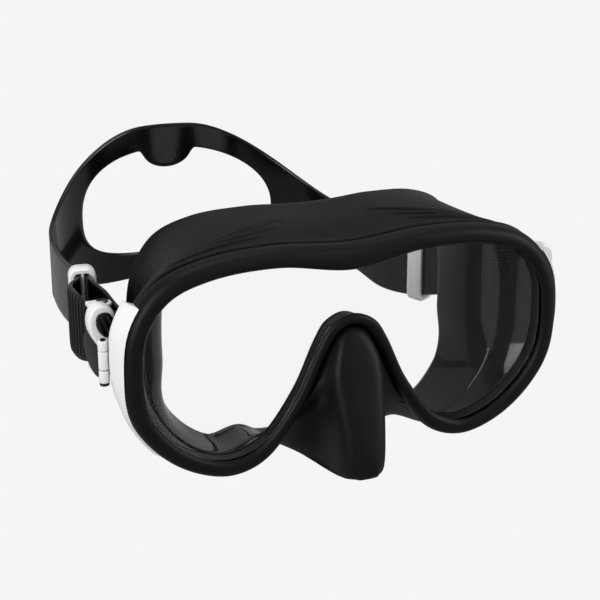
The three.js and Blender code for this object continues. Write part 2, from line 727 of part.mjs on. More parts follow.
const RING_DISTANCE = distanceWhere((p) => p.x > RING_CENTRE_X, 0, ROUTE_LENGTH);
const KEEPER_RIGHT_DISTANCE = distanceWhere((p) => p.y > KEEPER_RIGHT_Y, 0, RING_DISTANCE);
const KEEPER_LEFT_DISTANCE = distanceWhere((p) => p.y < KEEPER_LEFT_Y, RING_DISTANCE, ROUTE_LENGTH);
const JOINT_RIGHT_DISTANCE = KEEPER_RIGHT_DISTANCE + 24;
const JOINT_LEFT_DISTANCE = KEEPER_LEFT_DISTANCE - 16;

// A flat band, on edge, along a row of centre points.
function bandSolid(points) {
  const sections = points.map((p, i) => {
    const before = points[Math.max(i - 1, 0)];
    const after = points[Math.min(i + 1, points.length - 1)];
    const along = after.clone().sub(before).setZ(0).normalize();
    const nx = (-along.y * STRAP_THICKNESS) / 2;
    const ny = (along.x * STRAP_THICKNESS) / 2;
    const high = p.z + STRAP_HEIGHT / 2;
    const low = p.z - STRAP_HEIGHT / 2;
    return [
      [p.x + nx, p.y + ny, low],
      [p.x - nx, p.y - ny, low],
      [p.x - nx, p.y - ny, high],
      [p.x + nx, p.y + ny, high],
    ];
  });
  return loftSolid(sections, ([x, , z]) => [x, z]);
}

// One end of the strap: the tail outside, the loop round the roller and the main layer inside.
function strapEndPoints(side, keeperDistance, jointDistance) {
  const keeper = routeAt(keeperDistance);
  const outward = keeper.out.clone();
  if (Math.sign(outward.x) !== side) {
    outward.negate();
  }
  const backward = keeper.along.clone();
  if (backward.y < 0) {
    backward.negate();
  }
  const atKeeper = (distance) => keeper.p.clone()
    .addScaledVector(outward, KEEPER_PITCH)
    .addScaledVector(backward, distance)
    .setZ(keeper.p.z);
  const drop = keeper.p.z;
  const tail = new THREE.CatmullRomCurve3([
    atKeeper(KEEPER_LENGTH / 2 + 6).addScaledVector(outward, 0.7),
    atKeeper(KEEPER_LENGTH / 2 + 1),
    atKeeper(-KEEPER_LENGTH / 2 - 1),
    new THREE.Vector3(side * (TAIL_X - 0.6), PIN_Y + ARM_RADIUS + 6, drop * 0.12),
    new THREE.Vector3(side * TAIL_X, PIN_Y + ARM_RADIUS, 0),
    new THREE.Vector3(side * TAIL_X, BEND_Y, 0),
  ]).getSpacedPoints(20);
  const bends = 8;
  const loop = [];
  for (let i = 1; i < bends; i++) {
    const turn = (Math.PI * i) / bends;
    const x = Math.abs(PIN_X) + LAYER_OFFSET * Math.cos(turn);
    loop.push(new THREE.Vector3(side * x, BEND_Y - LAYER_OFFSET * Math.sin(turn), 0));
  }
  const end = side < 0 ? 0 : ROUTE_LENGTH;
  const steps = 18;
  const main = [];
  for (let i = 0; i <= steps; i++) {
    main.push(routeAt(mix(end, jointDistance, i / steps)).p);
  }
  return [...tail, ...loop, ...main];
}

// Head ring: flat pattern (along the strap, height) with one opening, wrapped onto the route.
function strapBackSolid() {
  const right = JOINT_RIGHT_DISTANCE + GAP - RING_DISTANCE;
  const left = JOINT_LEFT_DISTANCE - GAP - RING_DISTANCE;
  const half = STRAP_HEIGHT / 2;
  const ringHalfHeight = RING_OPENING_HALF_HEIGHT + RING_BAND;
  const edge = (s) => {
    const fall = smoothstep(RING_SHOULDER_START, RING_SHOULDER_END, Math.abs(s));
    return mix(ringHalfHeight, half, fall);
  };
  const power = (value, exponent) => Math.sign(value) * Math.abs(value) ** exponent;
  const count = 72;
  const ends = 4;
  const outerAt = (k) => {
    const quarter = count / 4;
    const turn = Math.floor(k / quarter);
    const step = k % quarter;
    const rising = turn % 2 === 0 ? step : quarter - step;
    const reach = turn === 0 || turn === 3 ? left : right;
    const sign = turn < 2 ? 1 : -1;
    if (rising < ends) {
      return [reach, (sign * half * rising) / ends];
    }
    const s = reach * (1 - (rising - ends) / (quarter - ends));
    return [s, sign * edge(s)];
  };
  const innerAt = (k) => {
    const turn = (2 * Math.PI * k) / count;
    const s = RING_OPENING_HALF_LENGTH * power(Math.cos(turn), 0.85);
    const h = RING_OPENING_HALF_HEIGHT * power(Math.sin(turn), 0.8);
    const tab = h > 0 && Math.abs(s) < TAB_HALF_WIDTH ? Math.sqrt(1 - (s / TAB_HALF_WIDTH) ** 2) : 0;
    return [s, h - TAB_DROP * tab];
  };
  const rows = 5;
  const profiles = [];
  for (let k = 0; k < count; k++) {
    const outer = outerAt(k);
    const inner = innerAt(k);
    const across = [];
    for (let row = 0; row <= rows; row++) {
      across.push(mixPoint(inner, outer, row / rows));
    }
    const face = (shift) => across.map(([s, h]) => {
      const { p, out } = routeAt(RING_DISTANCE + s);
      return [p.x + out.x * shift, p.y + out.y * shift, p.z + h];
    });
    profiles.push([...face(STRAP_THICKNESS / 2), ...face(-STRAP_THICKNESS / 2).reverse()]);
  }
  return ringSolid(profiles);
}

// Two-slot loop that holds the tail against the main layer.
function keeperGeometry() {
  const slot = STRAP_THICKNESS / 2 + KEEPER_CLEARANCE;
  const half = KEEPER_LENGTH / 2;
  const slotTop = STRAP_HEIGHT / 2 + KEEPER_CLEARANCE + 0.6;
  const body = boxBetween(
    [-half, -slot - KEEPER_WALL, -slotTop - KEEPER_WALL],
    [half, KEEPER_PITCH + slot + KEEPER_WALL, slotTop + KEEPER_WALL],
  );
  const slotAt = (middle) => boxBetween(
    [-half - 1, middle - slot, -slotTop],
    [half + 1, middle + slot, slotTop],
  );
  return combine([body], [slotAt(0), slotAt(KEEPER_PITCH)]);
}

function keeperSolid(distance) {
  const { p, along } = routeAt(distance);
  const geometry = keeperGeometry();
  geometry.applyMatrix4(new THREE.Matrix4().makeRotationZ(Math.atan2(along.y, along.x)));
  geometry.translate(p.x, p.y, p.z);
  return geometry;
}

// ---- assembly ----------------------------------------------------------------------------------
const group = new THREE.Group();

function add(name, geometry, { color, roughness, metalness = 0 }) {
  const material = new THREE.MeshStandardMaterial({ color, roughness, metalness });
  const mesh = new THREE.Mesh(geometry, material);
  mesh.name = name;
  group.add(mesh);
}

const glass = { color: 0xdfe8ea, roughness: 0.05 };
const matteSilicone = { color: 0x18191b, roughness: 0.6 };
const satinSilicone = { color: 0x131415, roughness: 0.4 };
const whitePlastic = { color: 0xf2f2f0, roughness: 0.3 };
const blackPlastic = { color: 0x1b1c1e, roughness: 0.5 };
const steel = { color: 0x9a9c9f, roughness: 0.3, metalness: 1 };

add('lens', lensSolid(), glass);
add('front_rim', rimSolid(), matteSilicone);
add('chassis_ring', chassisSolid(), blackPlastic);
add('skirt', skirtSolid(), matteSilicone);

const hardware = [
  ['wing', wingSolid(), whitePlastic],
  ['hinge_pin', hingePinSolid(), blackPlastic],
  ['buckle', buckleSolid(), whitePlastic],
  ['buckle_cover', buckleCoverSolid(), blackPlastic],
  ['roller_pin', rollerPinSolid(), steel],
  ['roller', rollerSolid(), blackPlastic],
  ['release_button', releaseButtonSolid(), blackPlastic],
  ['button_spring', buttonSpringSolid(), steel],
];
for (const [name, geometry, finish] of hardware) {
  add(`${name}_right`, geometry, finish);
  add(`${name}_left`, mirrored(geometry), finish);
}

add('keeper_right', keeperSolid(KEEPER_RIGHT_DISTANCE), whitePlastic);
add('keeper_left', keeperSolid(KEEPER_LEFT_DISTANCE), whitePlastic);
const strapEnds = [
  ['strap_right', strapEndPoints(-1, KEEPER_RIGHT_DISTANCE, JOINT_RIGHT_DISTANCE)],
  ['strap_left', strapEndPoints(1, KEEPER_LEFT_DISTANCE, JOINT_LEFT_DISTANCE)],
];
for (const [name, points] of strapEnds) {
  add(name, bandSolid(points), satinSilicone);
}
add('strap_back', strapBackSolid(), satinSilicone);

export default group;
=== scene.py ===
import json
import math

import bmesh
import bpy
from bpy.props import FloatProperty, FloatVectorProperty, PointerProperty
from mathutils import Matrix, Vector

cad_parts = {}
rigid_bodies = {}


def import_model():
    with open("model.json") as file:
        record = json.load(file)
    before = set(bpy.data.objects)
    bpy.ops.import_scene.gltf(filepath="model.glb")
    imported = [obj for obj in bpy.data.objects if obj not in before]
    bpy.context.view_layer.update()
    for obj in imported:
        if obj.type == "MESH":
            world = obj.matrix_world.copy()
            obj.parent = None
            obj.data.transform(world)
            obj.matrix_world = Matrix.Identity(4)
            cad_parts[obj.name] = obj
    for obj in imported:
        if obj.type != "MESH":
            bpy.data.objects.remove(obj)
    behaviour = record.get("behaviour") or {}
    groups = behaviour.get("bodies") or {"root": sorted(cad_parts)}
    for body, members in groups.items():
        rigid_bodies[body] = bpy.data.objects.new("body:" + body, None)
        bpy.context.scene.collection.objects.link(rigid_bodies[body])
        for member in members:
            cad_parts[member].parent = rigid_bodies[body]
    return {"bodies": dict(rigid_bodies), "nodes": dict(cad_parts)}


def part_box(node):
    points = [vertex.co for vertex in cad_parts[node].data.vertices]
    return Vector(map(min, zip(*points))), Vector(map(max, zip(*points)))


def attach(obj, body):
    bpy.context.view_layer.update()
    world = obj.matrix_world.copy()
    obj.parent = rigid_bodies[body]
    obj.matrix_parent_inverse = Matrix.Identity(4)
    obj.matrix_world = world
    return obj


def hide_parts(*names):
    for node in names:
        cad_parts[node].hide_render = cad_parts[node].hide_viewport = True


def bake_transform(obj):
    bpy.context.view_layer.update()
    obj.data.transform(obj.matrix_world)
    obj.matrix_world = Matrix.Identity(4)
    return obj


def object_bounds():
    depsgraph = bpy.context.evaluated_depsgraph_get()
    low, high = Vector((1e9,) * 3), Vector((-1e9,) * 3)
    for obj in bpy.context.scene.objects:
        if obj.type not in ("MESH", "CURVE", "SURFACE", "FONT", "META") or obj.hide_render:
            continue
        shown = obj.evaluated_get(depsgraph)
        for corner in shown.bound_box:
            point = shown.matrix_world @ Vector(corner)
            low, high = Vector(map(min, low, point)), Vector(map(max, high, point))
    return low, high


bl_info = {
    "name": "Diving mask",
    "version": (1, 0, 0),
    "blender": (4, 5, 0),
    "location": "3D View > Sidebar > Diving mask",
    "description": "Builds a diving mask and its strap round the packed frame",
    "category": "Object",
}

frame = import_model()
CAD_LOW, CAD_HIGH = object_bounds()

# The modelling code counts in millimetres; a mesh becomes metres when it is made.
MM = 0.001
GAP = 0.3
STATIONS = 192  # points round the window's outline


def cad_box(node):
    """A CAD node's lowest and highest corners, in millimetres."""
    low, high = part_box(node)
    return low / MM, high / MM


RIM_LOW, RIM_HIGH = cad_box("front_rim")
LENS_LOW = cad_box("lens")[0]
CHASSIS_LOW, CHASSIS_HIGH = cad_box("chassis_ring")
SKIRT_LOW, SKIRT_HIGH = cad_box("skirt")
PIN_LOW, PIN_HIGH = cad_box("roller_pin_right")
HINGE_LOW, HINGE_HIGH = cad_box("hinge_pin_right")
PIN = (PIN_LOW + PIN_HIGH) / 2
HINGE = (HINGE_LOW + HINGE_HIGH) / 2
KEEPER_RIGHT = sum(cad_box("keeper_right"), Vector()) / 2
KEEPER_LEFT = sum(cad_box("keeper_left"), Vector()) / 2

RIM_WIDTH = 6.8
RIM_WIDTH_NOSE = 4.8
RIM_BROW_EXTRA = 2.4
WINDOW_HALF_WIDTH = RIM_HIGH.x - RIM_WIDTH
WINDOW_TOP = 25.4
WINDOW_BROW_DIP = 4.2
WINDOW_BOTTOM = -43.4
WINDOW_MID = -6
LOBE_X = 45
NOTCH_TOP = 5.4
NOTCH_HALF_WIDTH = 16.4
SKIRT_FRONT = RIM_HIGH.y + GAP
SKIRT_SKIN = 0.5
SEAL_BOTTOM = -53.5  # the face seal's height beside the nose
OUTLINE_TOP = 25.8  # the window's height where the brow is highest


# ---- small tools -------------------------------------------------------------------------
def mix(a, b, t):
    return a + (b - a) * t


def clamp01(t):
    return min(1.0, max(0.0, t))


def smoothstep(a, b, t):
    k = clamp01((t - a) / (b - a))
    return k * k * (3 - 2 * k)


def power(value, exponent):
    return math.copysign(abs(value) ** exponent, value)


def curve_line(points, closed=False, steps=24):
    """A smooth centripetal curve through the points, as a dense line of points."""
    points = [Vector(p) for p in points]
    count = len(points)
    line = []
    for i in range(count if closed else count - 1):
        p1, p2 = points[i], points[(i + 1) % count]
        p0 = points[i - 1] if closed or i > 0 else 2 * p1 - p2
        p3 = points[(i + 2) % count] if closed or i + 2 < count else 2 * p2 - p1
        d0, d1, d2 = (max((b - a).length ** 0.5, 1e-4) for a, b in ((p0, p1), (p1, p2), (p2, p3)))
        t1 = ((p1 - p0) / d0 - (p2 - p0) / (d0 + d1) + (p2 - p1) / d1) * d1
        t2 = ((p2 - p1) / d1 - (p3 - p1) / (d1 + d2) + (p3 - p2) / d2) * d1
        for k in range(steps):
            t = k / steps
            bend = (3 * (p2 - p1) - 2 * t1 - t2) * t**2
            line.append(p1 + t1 * t + bend + (2 * (p1 - p2) + t1 + t2) * t**3)
    line.append(line[0] if closed else points[-1])
    return line


def line_lengths(line):
    """The distance of each point of a line from its start."""
    lengths = [0.0]
    for a, b in zip(line, line[1:]):
        lengths.append(lengths[-1] + (b - a).length)
    return lengths


def at_length(line, lengths, distance):
    """The point at a distance along a line."""
    distance = min(max(distance, 0.0), lengths[-1])
    low, high = 0, len(lengths) - 1
    while high - low > 1:
        middle = (low + high) // 2
        if lengths[middle] <= distance:
            low = middle
        else:
            high = middle
    span = lengths[high] - lengths[low]
    return line[low].lerp(line[high], (distance - lengths[low]) / span if span else 0.0)


def spaced(line, count, closed=False):
    """Evenly spaced points along a line; a closed line doesn't repeat its first point."""
    lengths = line_lengths(line)
    last = count if closed else count - 1
    return [at_length(line, lengths, lengths[-1] * i / last) for i in range(count)]


# ---- mesh tools --------------------------------------------------------------------------
def skin(rows, around=False, along=False, caps=False):
    """A sheet of quads through rows of points: around closes each row, along joins the last
    row to the first, and caps fills what is still open."""
    bm = bmesh.new()
    width = len(rows[0]) + around
    height = len(rows) + along
    bmesh.ops.create_grid(bm, x_segments=width - 1, y_segments=height - 1, size=1)
    for i, vert in enumerate(bm.verts):
        row, column = divmod(i, width)
        vert.co = Vector(rows[row % len(rows)][column % len(rows[0])]) * MM
    bmesh.ops.remove_doubles(bm, verts=bm.verts, dist=1e-7)
    if caps:
        bmesh.ops.holes_fill(bm, edges=[e for e in bm.edges if e.is_boundary], sides=0)
    if along or caps:
        bmesh.ops.recalc_face_normals(bm, faces=bm.faces)
    return bm


def sharp_edges(bm, degrees):
    limit = math.radians(degrees)
    return [e for e in bm.edges if len(e.link_faces) == 2 and e.calc_face_angle(0) > limit]


def slab(outline, place, depth, rounding=0.0, segments=3):
    """A plate: place turns (a, b, c) into a point, the outline is in a and b, and the plate
    runs from c 0 to depth. Its edges are rounded."""
    bm = bmesh.new()
    verts = [bm.verts.new(Vector(place(a, b, 0)) * MM) for a, b in outline]
    face = bm.faces.new(verts)
    new = bmesh.ops.extrude_face_region(bm, geom=[face])["geom"]
    move = (Vector(place(0, 0, depth)) - Vector(place(0, 0, 0))) * MM
    bmesh.ops.translate(bm, verts=[v for v in new if isinstance(v, bmesh.types.BMVert)], vec=move)
    bmesh.ops.recalc_face_normals(bm, faces=bm.faces)
    if rounding:
        round_edges(bm, rounding, segments)
    return bm


def round_edges(bm, radius, segments=3, degrees=35):
    bmesh.ops.bevel(
        bm,
        geom=sharp_edges(bm, degrees),
        offset=radius * MM,
        offset_type="OFFSET",
        segments=segments,
        profile=0.5,
        affect="EDGES",
        material=-1,
        clamp_overlap=True,
    )


POST_SIDES = 40


def post(x, y, z0, z1, radius, rounding=0.0):
    """A round post standing on +Z between two heights."""
    bm = bmesh.new()
    bmesh.ops.create_cone(
        bm,
        cap_ends=True,
        segments=POST_SIDES,
        radius1=radius * MM,
        radius2=radius * MM,
        depth=(z1 - z0) * MM,
    )
    bmesh.ops.translate(bm, verts=bm.verts, vec=Vector((x, y, (z0 + z1) / 2)) * MM)
    if rounding:
        round_edges(bm, rounding, 3, 50)
    return bm


def joined(*parts):
    """Several closed shapes as one mesh."""
    whole = bmesh.new()
    for bm in parts:
        mesh = bpy.data.meshes.new("part")
        bm.to_mesh(mesh)
        bm.free()
        whole.from_mesh(mesh)
        bpy.data.meshes.remove(mesh)
    return whole


def mirrored(bm):
    """The same shape for the wearer's other side, with its faces still pointing outwards."""
    copy = bm.copy()
    bmesh.ops.scale(copy, verts=copy.verts, vec=(-1, 1, 1))
    bmesh.ops.reverse_faces(copy, faces=copy.faces)
    return copy


def round_off(made, levels):
    smooth = made.modifiers.new("Round", "SUBSURF")
    smooth.levels = smooth.render_levels = levels


def piece(name, bm, finishes, body, stands_for=(), rounds=0, sharp=None):
    """Makes the object, gives it its finish and lets it ride on a body of the frame."""
    mesh = bpy.data.meshes.new(name)
    bm.to_mesh(mesh)
    bm.free()
    mesh.shade_smooth()
    if sharp:
        mesh.set_sharp_from_angle(angle=math.radians(sharp))
    finishes = [finishes] if isinstance(finishes, str) else finishes
    for key in finishes:
        mesh.materials.append(material(key))
    made = bpy.data.objects.new(name, mesh)
    bpy.context.scene.collection.objects.link(made)
    if rounds:
        round_off(made, rounds)
    if stands_for:
        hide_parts(*stands_for)
    if body:
        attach(made, body)
    return made


def both_sides(name, bm, finish, body, nodes, sharp=None):
    """The right-hand piece and its mirror image on the left; nodes are those it stands for."""
    other = mirrored(bm)
    for side, shape in (("right", bm), ("left", other)):
        stands_for = [f"{node}_{side}" for node in nodes.split()]
        body_name = body if body in frame["bodies"] else f"{body}_{side}"
        piece(f"{name}_{side}", shape, finish, body_name, stands_for, 0, sharp)


# ---- materials ---------------------------------------------------------------------------
GRAIN_DEPTH = 0.05 * MM


def moulded_group():
    """Node group: slow mottling and fine grain of a moulded surface, on Object coordinates."""
    name = "Moulded surface"
    if name in bpy.data.node_groups:
        return bpy.data.node_groups[name]
    group = bpy.data.node_groups.new(name, "ShaderNodeTree")
    face = group.interface
    for socket, value in (("Mottle Scale", 40.0), ("Grain Scale", 2500.0)):
        made = face.new_socket(name=socket, in_out="INPUT", socket_type="NodeSocketFloat")
        made.default_value = value
    for socket in ("Mottle", "Grain"):
        face.new_socket(name=socket, in_out="OUTPUT", socket_type="NodeSocketFloat")
    nodes, links = group.nodes, group.links
    inputs, outputs = nodes.new("NodeGroupInput"), nodes.new("NodeGroupOutput")
    place = nodes.new("ShaderNodeTexCoord")
    for key, detail in (("Mottle", 3.0), ("Grain", 1.0)):
        noise = nodes.new("ShaderNodeTexNoise")
        noise.inputs["Detail"].default_value = detail
        links.new(place.outputs["Object"], noise.inputs["Vector"])
        links.new(inputs.outputs[f"{key} Scale"], noise.inputs["Scale"])
        links.new(noise.outputs["Fac"], outputs.inputs[key])
    return group


def moulded(name, colour, light, rough, grain, specular, metal=0.0):
    """A moulded finish: two close tones, a roughness that drifts and a fine grain."""
    made = bpy.data.materials.new(name)
    made.use_nodes = True
    nodes, links = made.node_tree.nodes, made.node_tree.links
    shader = nodes["Principled BSDF"]
    surface = nodes.new("ShaderNodeGroup")
    surface.node_tree = moulded_group()
    tones = nodes.new("ShaderNodeMix")
    tones.data_type = "RGBA"
    tones.inputs["A"].default_value = (*colour, 1)
    tones.inputs["B"].default_value = (*light, 1)
    drift = nodes.new("ShaderNodeMapRange")
    drift.inputs["To Min"].default_value = rough[0]
    drift.inputs["To Max"].default_value = rough[1]
    bump = nodes.new("ShaderNodeBump")
    bump.inputs["Strength"].default_value = grain
    bump.inputs["Distance"].default_value = GRAIN_DEPTH
    links.new(surface.outputs["Mottle"], tones.inputs["Factor"])
    links.new(tones.outputs["Result"], shader.inputs["Base Color"])
    links.new(surface.outputs["Mottle"], drift.inputs["Value"])
    links.new(drift.outputs["Result"], shader.inputs["Roughness"])
    links.new(surface.outputs["Grain"], bump.inputs["Height"])
    links.new(bump.outputs["Normal"], shader.inputs["Normal"])
    shader.inputs["Metallic"].default_value = metal
    shader.inputs["Specular IOR Level"].default_value = specular
    return made


def clear_glass(name, tint):
    made = bpy.data.materials.new(name)
    made.use_nodes = True
    shader = made.node_tree.nodes["Principled BSDF"]
    shader.inputs["Base Color"].default_value = (*tint, 1)
    surface = made.node_tree.nodes.new("ShaderNodeGroup")
    surface.node_tree = moulded_group()
    haze = made.node_tree.nodes.new("ShaderNodeMapRange")
    haze.inputs["To Max"].default_value = 0.02
    made.node_tree.links.new(surface.outputs["Mottle"], haze.inputs["Value"])
    made.node_tree.links.new(haze.outputs["Result"], shader.inputs["Roughness"])
    shader.inputs["IOR"].default_value = 1.2
    shader.inputs["Transmission Weight"].default_value = 1.0
    return made


def tone(colour, factor):
    return tuple(min(1.0, c * factor) for c in colour)


def material(key):
    """The named finish, made once."""
    if key in bpy.data.materials:
        return bpy.data.materials[key]
    colours = bpy.context.scene.mask_colours
    black, strap = tuple(colours.silicone), tuple(colours.strap)
    white, hard = tuple(colours.white_plastic), tuple(colours.black_plastic)
    if key == "Matte silicone":
        return moulded(key, tone(black, 0.85), tone(black, 1.35), (0.4, 0.52), 0.12, 0.14)
    if key == "Polished silicone":
        return moulded(key, tone(black, 0.5), tone(black, 0.8), (0.05, 0.1), 0.02, 0.26)
    if key == "Strap silicone":
        return moulded(key, tone(strap, 0.8), tone(strap, 1.3), (0.1, 0.17), 0.03, 0.34)
    if key == "White plastic":
        return moulded(key, tone(white, 0.97), white, (0.24, 0.34), 0.05, 0.5)
    if key == "Black plastic":
        return moulded(key, tone(hard, 0.8), tone(hard, 1.3), (0.3, 0.42), 0.1, 0.28)
    if key == "Steel":
        steel = tuple(colours.steel)
        return moulded(key, tone(steel, 0.9), steel, (0.2, 0.34), 0.1, 0.5, 1.0)
    if key == "Tempered glass":
        return clear_glass(key, tuple(colours.glass))
    raise ValueError(f"no finish is named {key}")


# ---- outline of the window ---------------------------------------------------------------
class Station:
    """One place on the window's outline: its point, its outward direction, how far into the
    nose notch it is and how wide the rim is there."""

    def __init__(self, point, before, after, notch, rim, brow):
        along = (after - before).normalized()
        self.x, self.z = point.x, point.z
        self.nx, self.nz = -along.z, along.x
        self.notch, self.rim, self.brow = notch, rim, brow

    def offset(self, distance, y):
        return Vector((self.x + self.nx * distance, y, self.z + self.nz * distance))


def window_points():
    half = [
        (0, WINDOW_TOP - WINDOW_BROW_DIP),
        (28, WINDOW_TOP),
        (WINDOW_HALF_WIDTH - 25, WINDOW_TOP - 1.2),
        (WINDOW_HALF_WIDTH - 10, WINDOW_TOP - 6.5),
        (WINDOW_HALF_WIDTH - 2, WINDOW_TOP - 17),
        (WINDOW_HALF_WIDTH, WINDOW_MID),
        (WINDOW_HALF_WIDTH - 1.8, WINDOW_BOTTOM + 22.5),
        (WINDOW_HALF_WIDTH - 9.5, WINDOW_BOTTOM + 11),
        (LOBE_X + 12, WINDOW_BOTTOM + 3.2),
        (LOBE_X, WINDOW_BOTTOM),
        (LOBE_X - 11, WINDOW_BOTTOM + 4.6),
        (NOTCH_HALF_WIDTH + 5.2, (NOTCH_TOP + WINDOW_BOTTOM) / 2 - 4),
        (NOTCH_HALF_WIDTH - 3.2, NOTCH_TOP - 10.6),
        (NOTCH_HALF_WIDTH - 7.8, NOTCH_TOP - 3.6),
        (0, NOTCH_TOP),
    ]
    other = [(-x, z) for x, z in half[-2:0:-1]]
    return [(x, 0, z) for x, z in half + other]


def make_stations(count=STATIONS):
    points = spaced(curve_line(window_points(), closed=True), count, closed=True)
    apex = count // 2
    lobe = min(range(apex), key=lambda i: points[i].z)
    stations = []
    for i, point in enumerate(points):
        notch = clamp01(1 - abs(i - apex) / (apex - lobe))
        brow = math.exp(-((point.x / 20) ** 2)) if point.z > 0 and notch == 0 else 0.0
        rim = mix(RIM_WIDTH, RIM_WIDTH_NOSE, smoothstep(0.1, 0.4, notch)) + RIM_BROW_EXTRA * brow
        stations.append(Station(point, points[i - 1], points[(i + 1) % count], notch, rim, brow))
    return stations


OUTLINE = make_stations()


def outline_ring(profile_at):
    """A ring round the window; profile_at gives (outward distance, y) pairs for a station."""
    rows = [[s.offset(d, y) for d, y in profile_at(s)] for s in OUTLINE]
    return skin(rows, around=True, along=True)


# ---- rim, chassis and skirt --------------------------------------------------------------
def rim_profile(s):
    front, back = RIM_LOW.y, RIM_HIGH.y
    seat = LENS_LOW.y - GAP
    crown = bpy.context.scene.mask_sizes.rim_crown / MM
    w = s.rim
    return [
        (0.0, seat),
        (0.02 * w, seat - 0.7),
        (0.08 * w, front + crown * 0.45),
        (0.17 * w, front + crown * 0.12),
        (0.3 * w, front),
        (0.48 * w, front + crown * 0.02),
        (0.64 * w, front + crown * 0.16),
        (0.79 * w, front + crown * 0.5),
        (0.91 * w, front + crown * 1.05),
        (0.985 * w, front + crown * 1.9),
        (w, front + crown * 2.7),
        (w, back - 0.5),
        (w - 0.45, back),
        (3.0, back),
        (2.7, back - 0.3),
        (2.7, seat + 0.3),
        (2.4, seat),
    ]


def chassis_profile(s):
    front, back = CHASSIS_LOW.y, CHASSIS_HIGH.y
    outer = max(s.rim - 2.6, 2.2)
    step = SKIRT_FRONT
    inner = mix(1.0, 2.2, smoothstep(0.0, 0.25, s.notch))
    outer = max(outer, inner + 0.7)
    return [
        (inner, front + 0.25),
        (inner + 0.25, front),
        (inner + 0.5, front),
        (inner + 0.5, step),
        (outer, step),
        (outer, back),
        (inner + 0.25, back),
        (inner, back - 0.25),
    ]


def wall_points(s):
    """Outer face of the skirt's wall at a station, from the rim's edge to the face seal."""
    level = SKIRT_HIGH.z / OUTLINE_TOP if s.z > 0 else 1.25
    seal_half = WINDOW_HALF_WIDTH - 11
    under = smoothstep(0, 0.35, s.notch)
    fill = s.brow * WINDOW_BROW_DIP * level
    across = (s.x / WINDOW_HALF_WIDTH) ** 2
    height = mix(s.z * level + fill, SEAL_BOTTOM, under)
    seal = Vector((s.x * seal_half / WINDOW_HALF_WIDTH, mix(-6, 4, across), height))
    root = s.offset(s.rim - SKIRT_SKIN, 0)

    def at(t, y):
        p = root.lerp(seal, t)
        return Vector((p.x, y, p.z))

    bead = smoothstep(14, 22, s.z)
    rows = [
        s.offset(s.rim - SKIRT_SKIN, SKIRT_FRONT),
        s.offset(s.rim - SKIRT_SKIN + 0.75 * bead, SKIRT_FRONT + 0.35),
        s.offset(s.rim - SKIRT_SKIN + 0.95 * bead, SKIRT_FRONT + 1.1),
        s.offset(s.rim - SKIRT_SKIN + 0.3 * bead, SKIRT_FRONT + 1.9),
        s.offset(s.rim - SKIRT_SKIN, SKIRT_FRONT + 2.8),
    ]
    for share, y in ((0.1, -35.5), (0.34, -31.5), (0.58, -26), (0.78, -19), (0.92, -12)):
        rows.append(at(share, y))
    rows.append(at(1, seal.y - 3))
    flare = 2.5 * across
    rows.append(Vector((seal.x + math.copysign(flare, s.x), seal.y, seal.z)))
    return rows


def horn(turn, z):
    """Outer face of the nose pocket at a height: turn is 0 at the middle of its front and a
    quarter turn at its side."""
    down = clamp01((NOTCH_TOP - z) / (NOTCH_TOP + 44))
    half = mix(9.4, 10.8, smoothstep(0.1, 0.45, down)) - 1.8 * smoothstep(0.5, 1, down)
    front = mix(RIM_LOW.y + 0.6, SKIRT_LOW.y - 2.6, down)
    back = mix(-44, -42, down)
    side, ahead = math.sin(turn) ** 0.55, math.cos(turn) ** 0.45
    return half * side, mix(back, front, ahead)


def pocket_points(s):
    """Outer face of the nose pocket at a station, with as many rows as the wall."""
    turn = math.pi / 2 * clamp01((1 - s.notch) / 0.5)
    sign = math.copysign(1, s.x)
    wall = wall_points(s)
    edge = s.offset(s.rim, 0)
    start = min(edge.z - 2.0, -2.0)
    rows = [
        s.offset(s.rim - SKIRT_SKIN, SKIRT_FRONT),
        s.offset(s.rim + 0.1, SKIRT_FRONT - 2.6),
        s.offset(s.rim + 0.2, RIM_LOW.y + 2.2),
        s.offset(s.rim + 0.9, RIM_LOW.y + 0.9),
    ]
    for share in (0.04, 0.26, 0.52, 0.8):
        z = mix(start, -46.5, share)
        x, y = horn(turn, z)
        rows.append(Vector((sign * x, y, z)))
    x, y = horn(turn, -46)
    rows.append(Vector((sign * x * 0.98, y + 0.2, -51.6)))
    rows.append(Vector((sign * x * 0.86, mix(y, -38, 0.12), SKIRT_LOW.z - 1.4)))
    rows.append(Vector((sign * mix(x, abs(wall[10].x), 0.5), mix(y, -20, 0.6), -54.4)))
    rows.append(wall[11])
    return rows


def skirt_rows():
    rows = []
    for s in OUTLINE:
        wall = wall_points(s)
        if s.notch > 0:
            ahead = smoothstep(0.22, 0.52, s.notch)
            wall = [w.lerp(p, ahead) for w, p in zip(wall, pocket_points(s))]
        rows.append(curve_line(wall, steps=2))
    return rows


CHEEK_REACH, CHEEK_FRONT, CHEEK_TOP = 34, SKIRT_FRONT - 22, 2


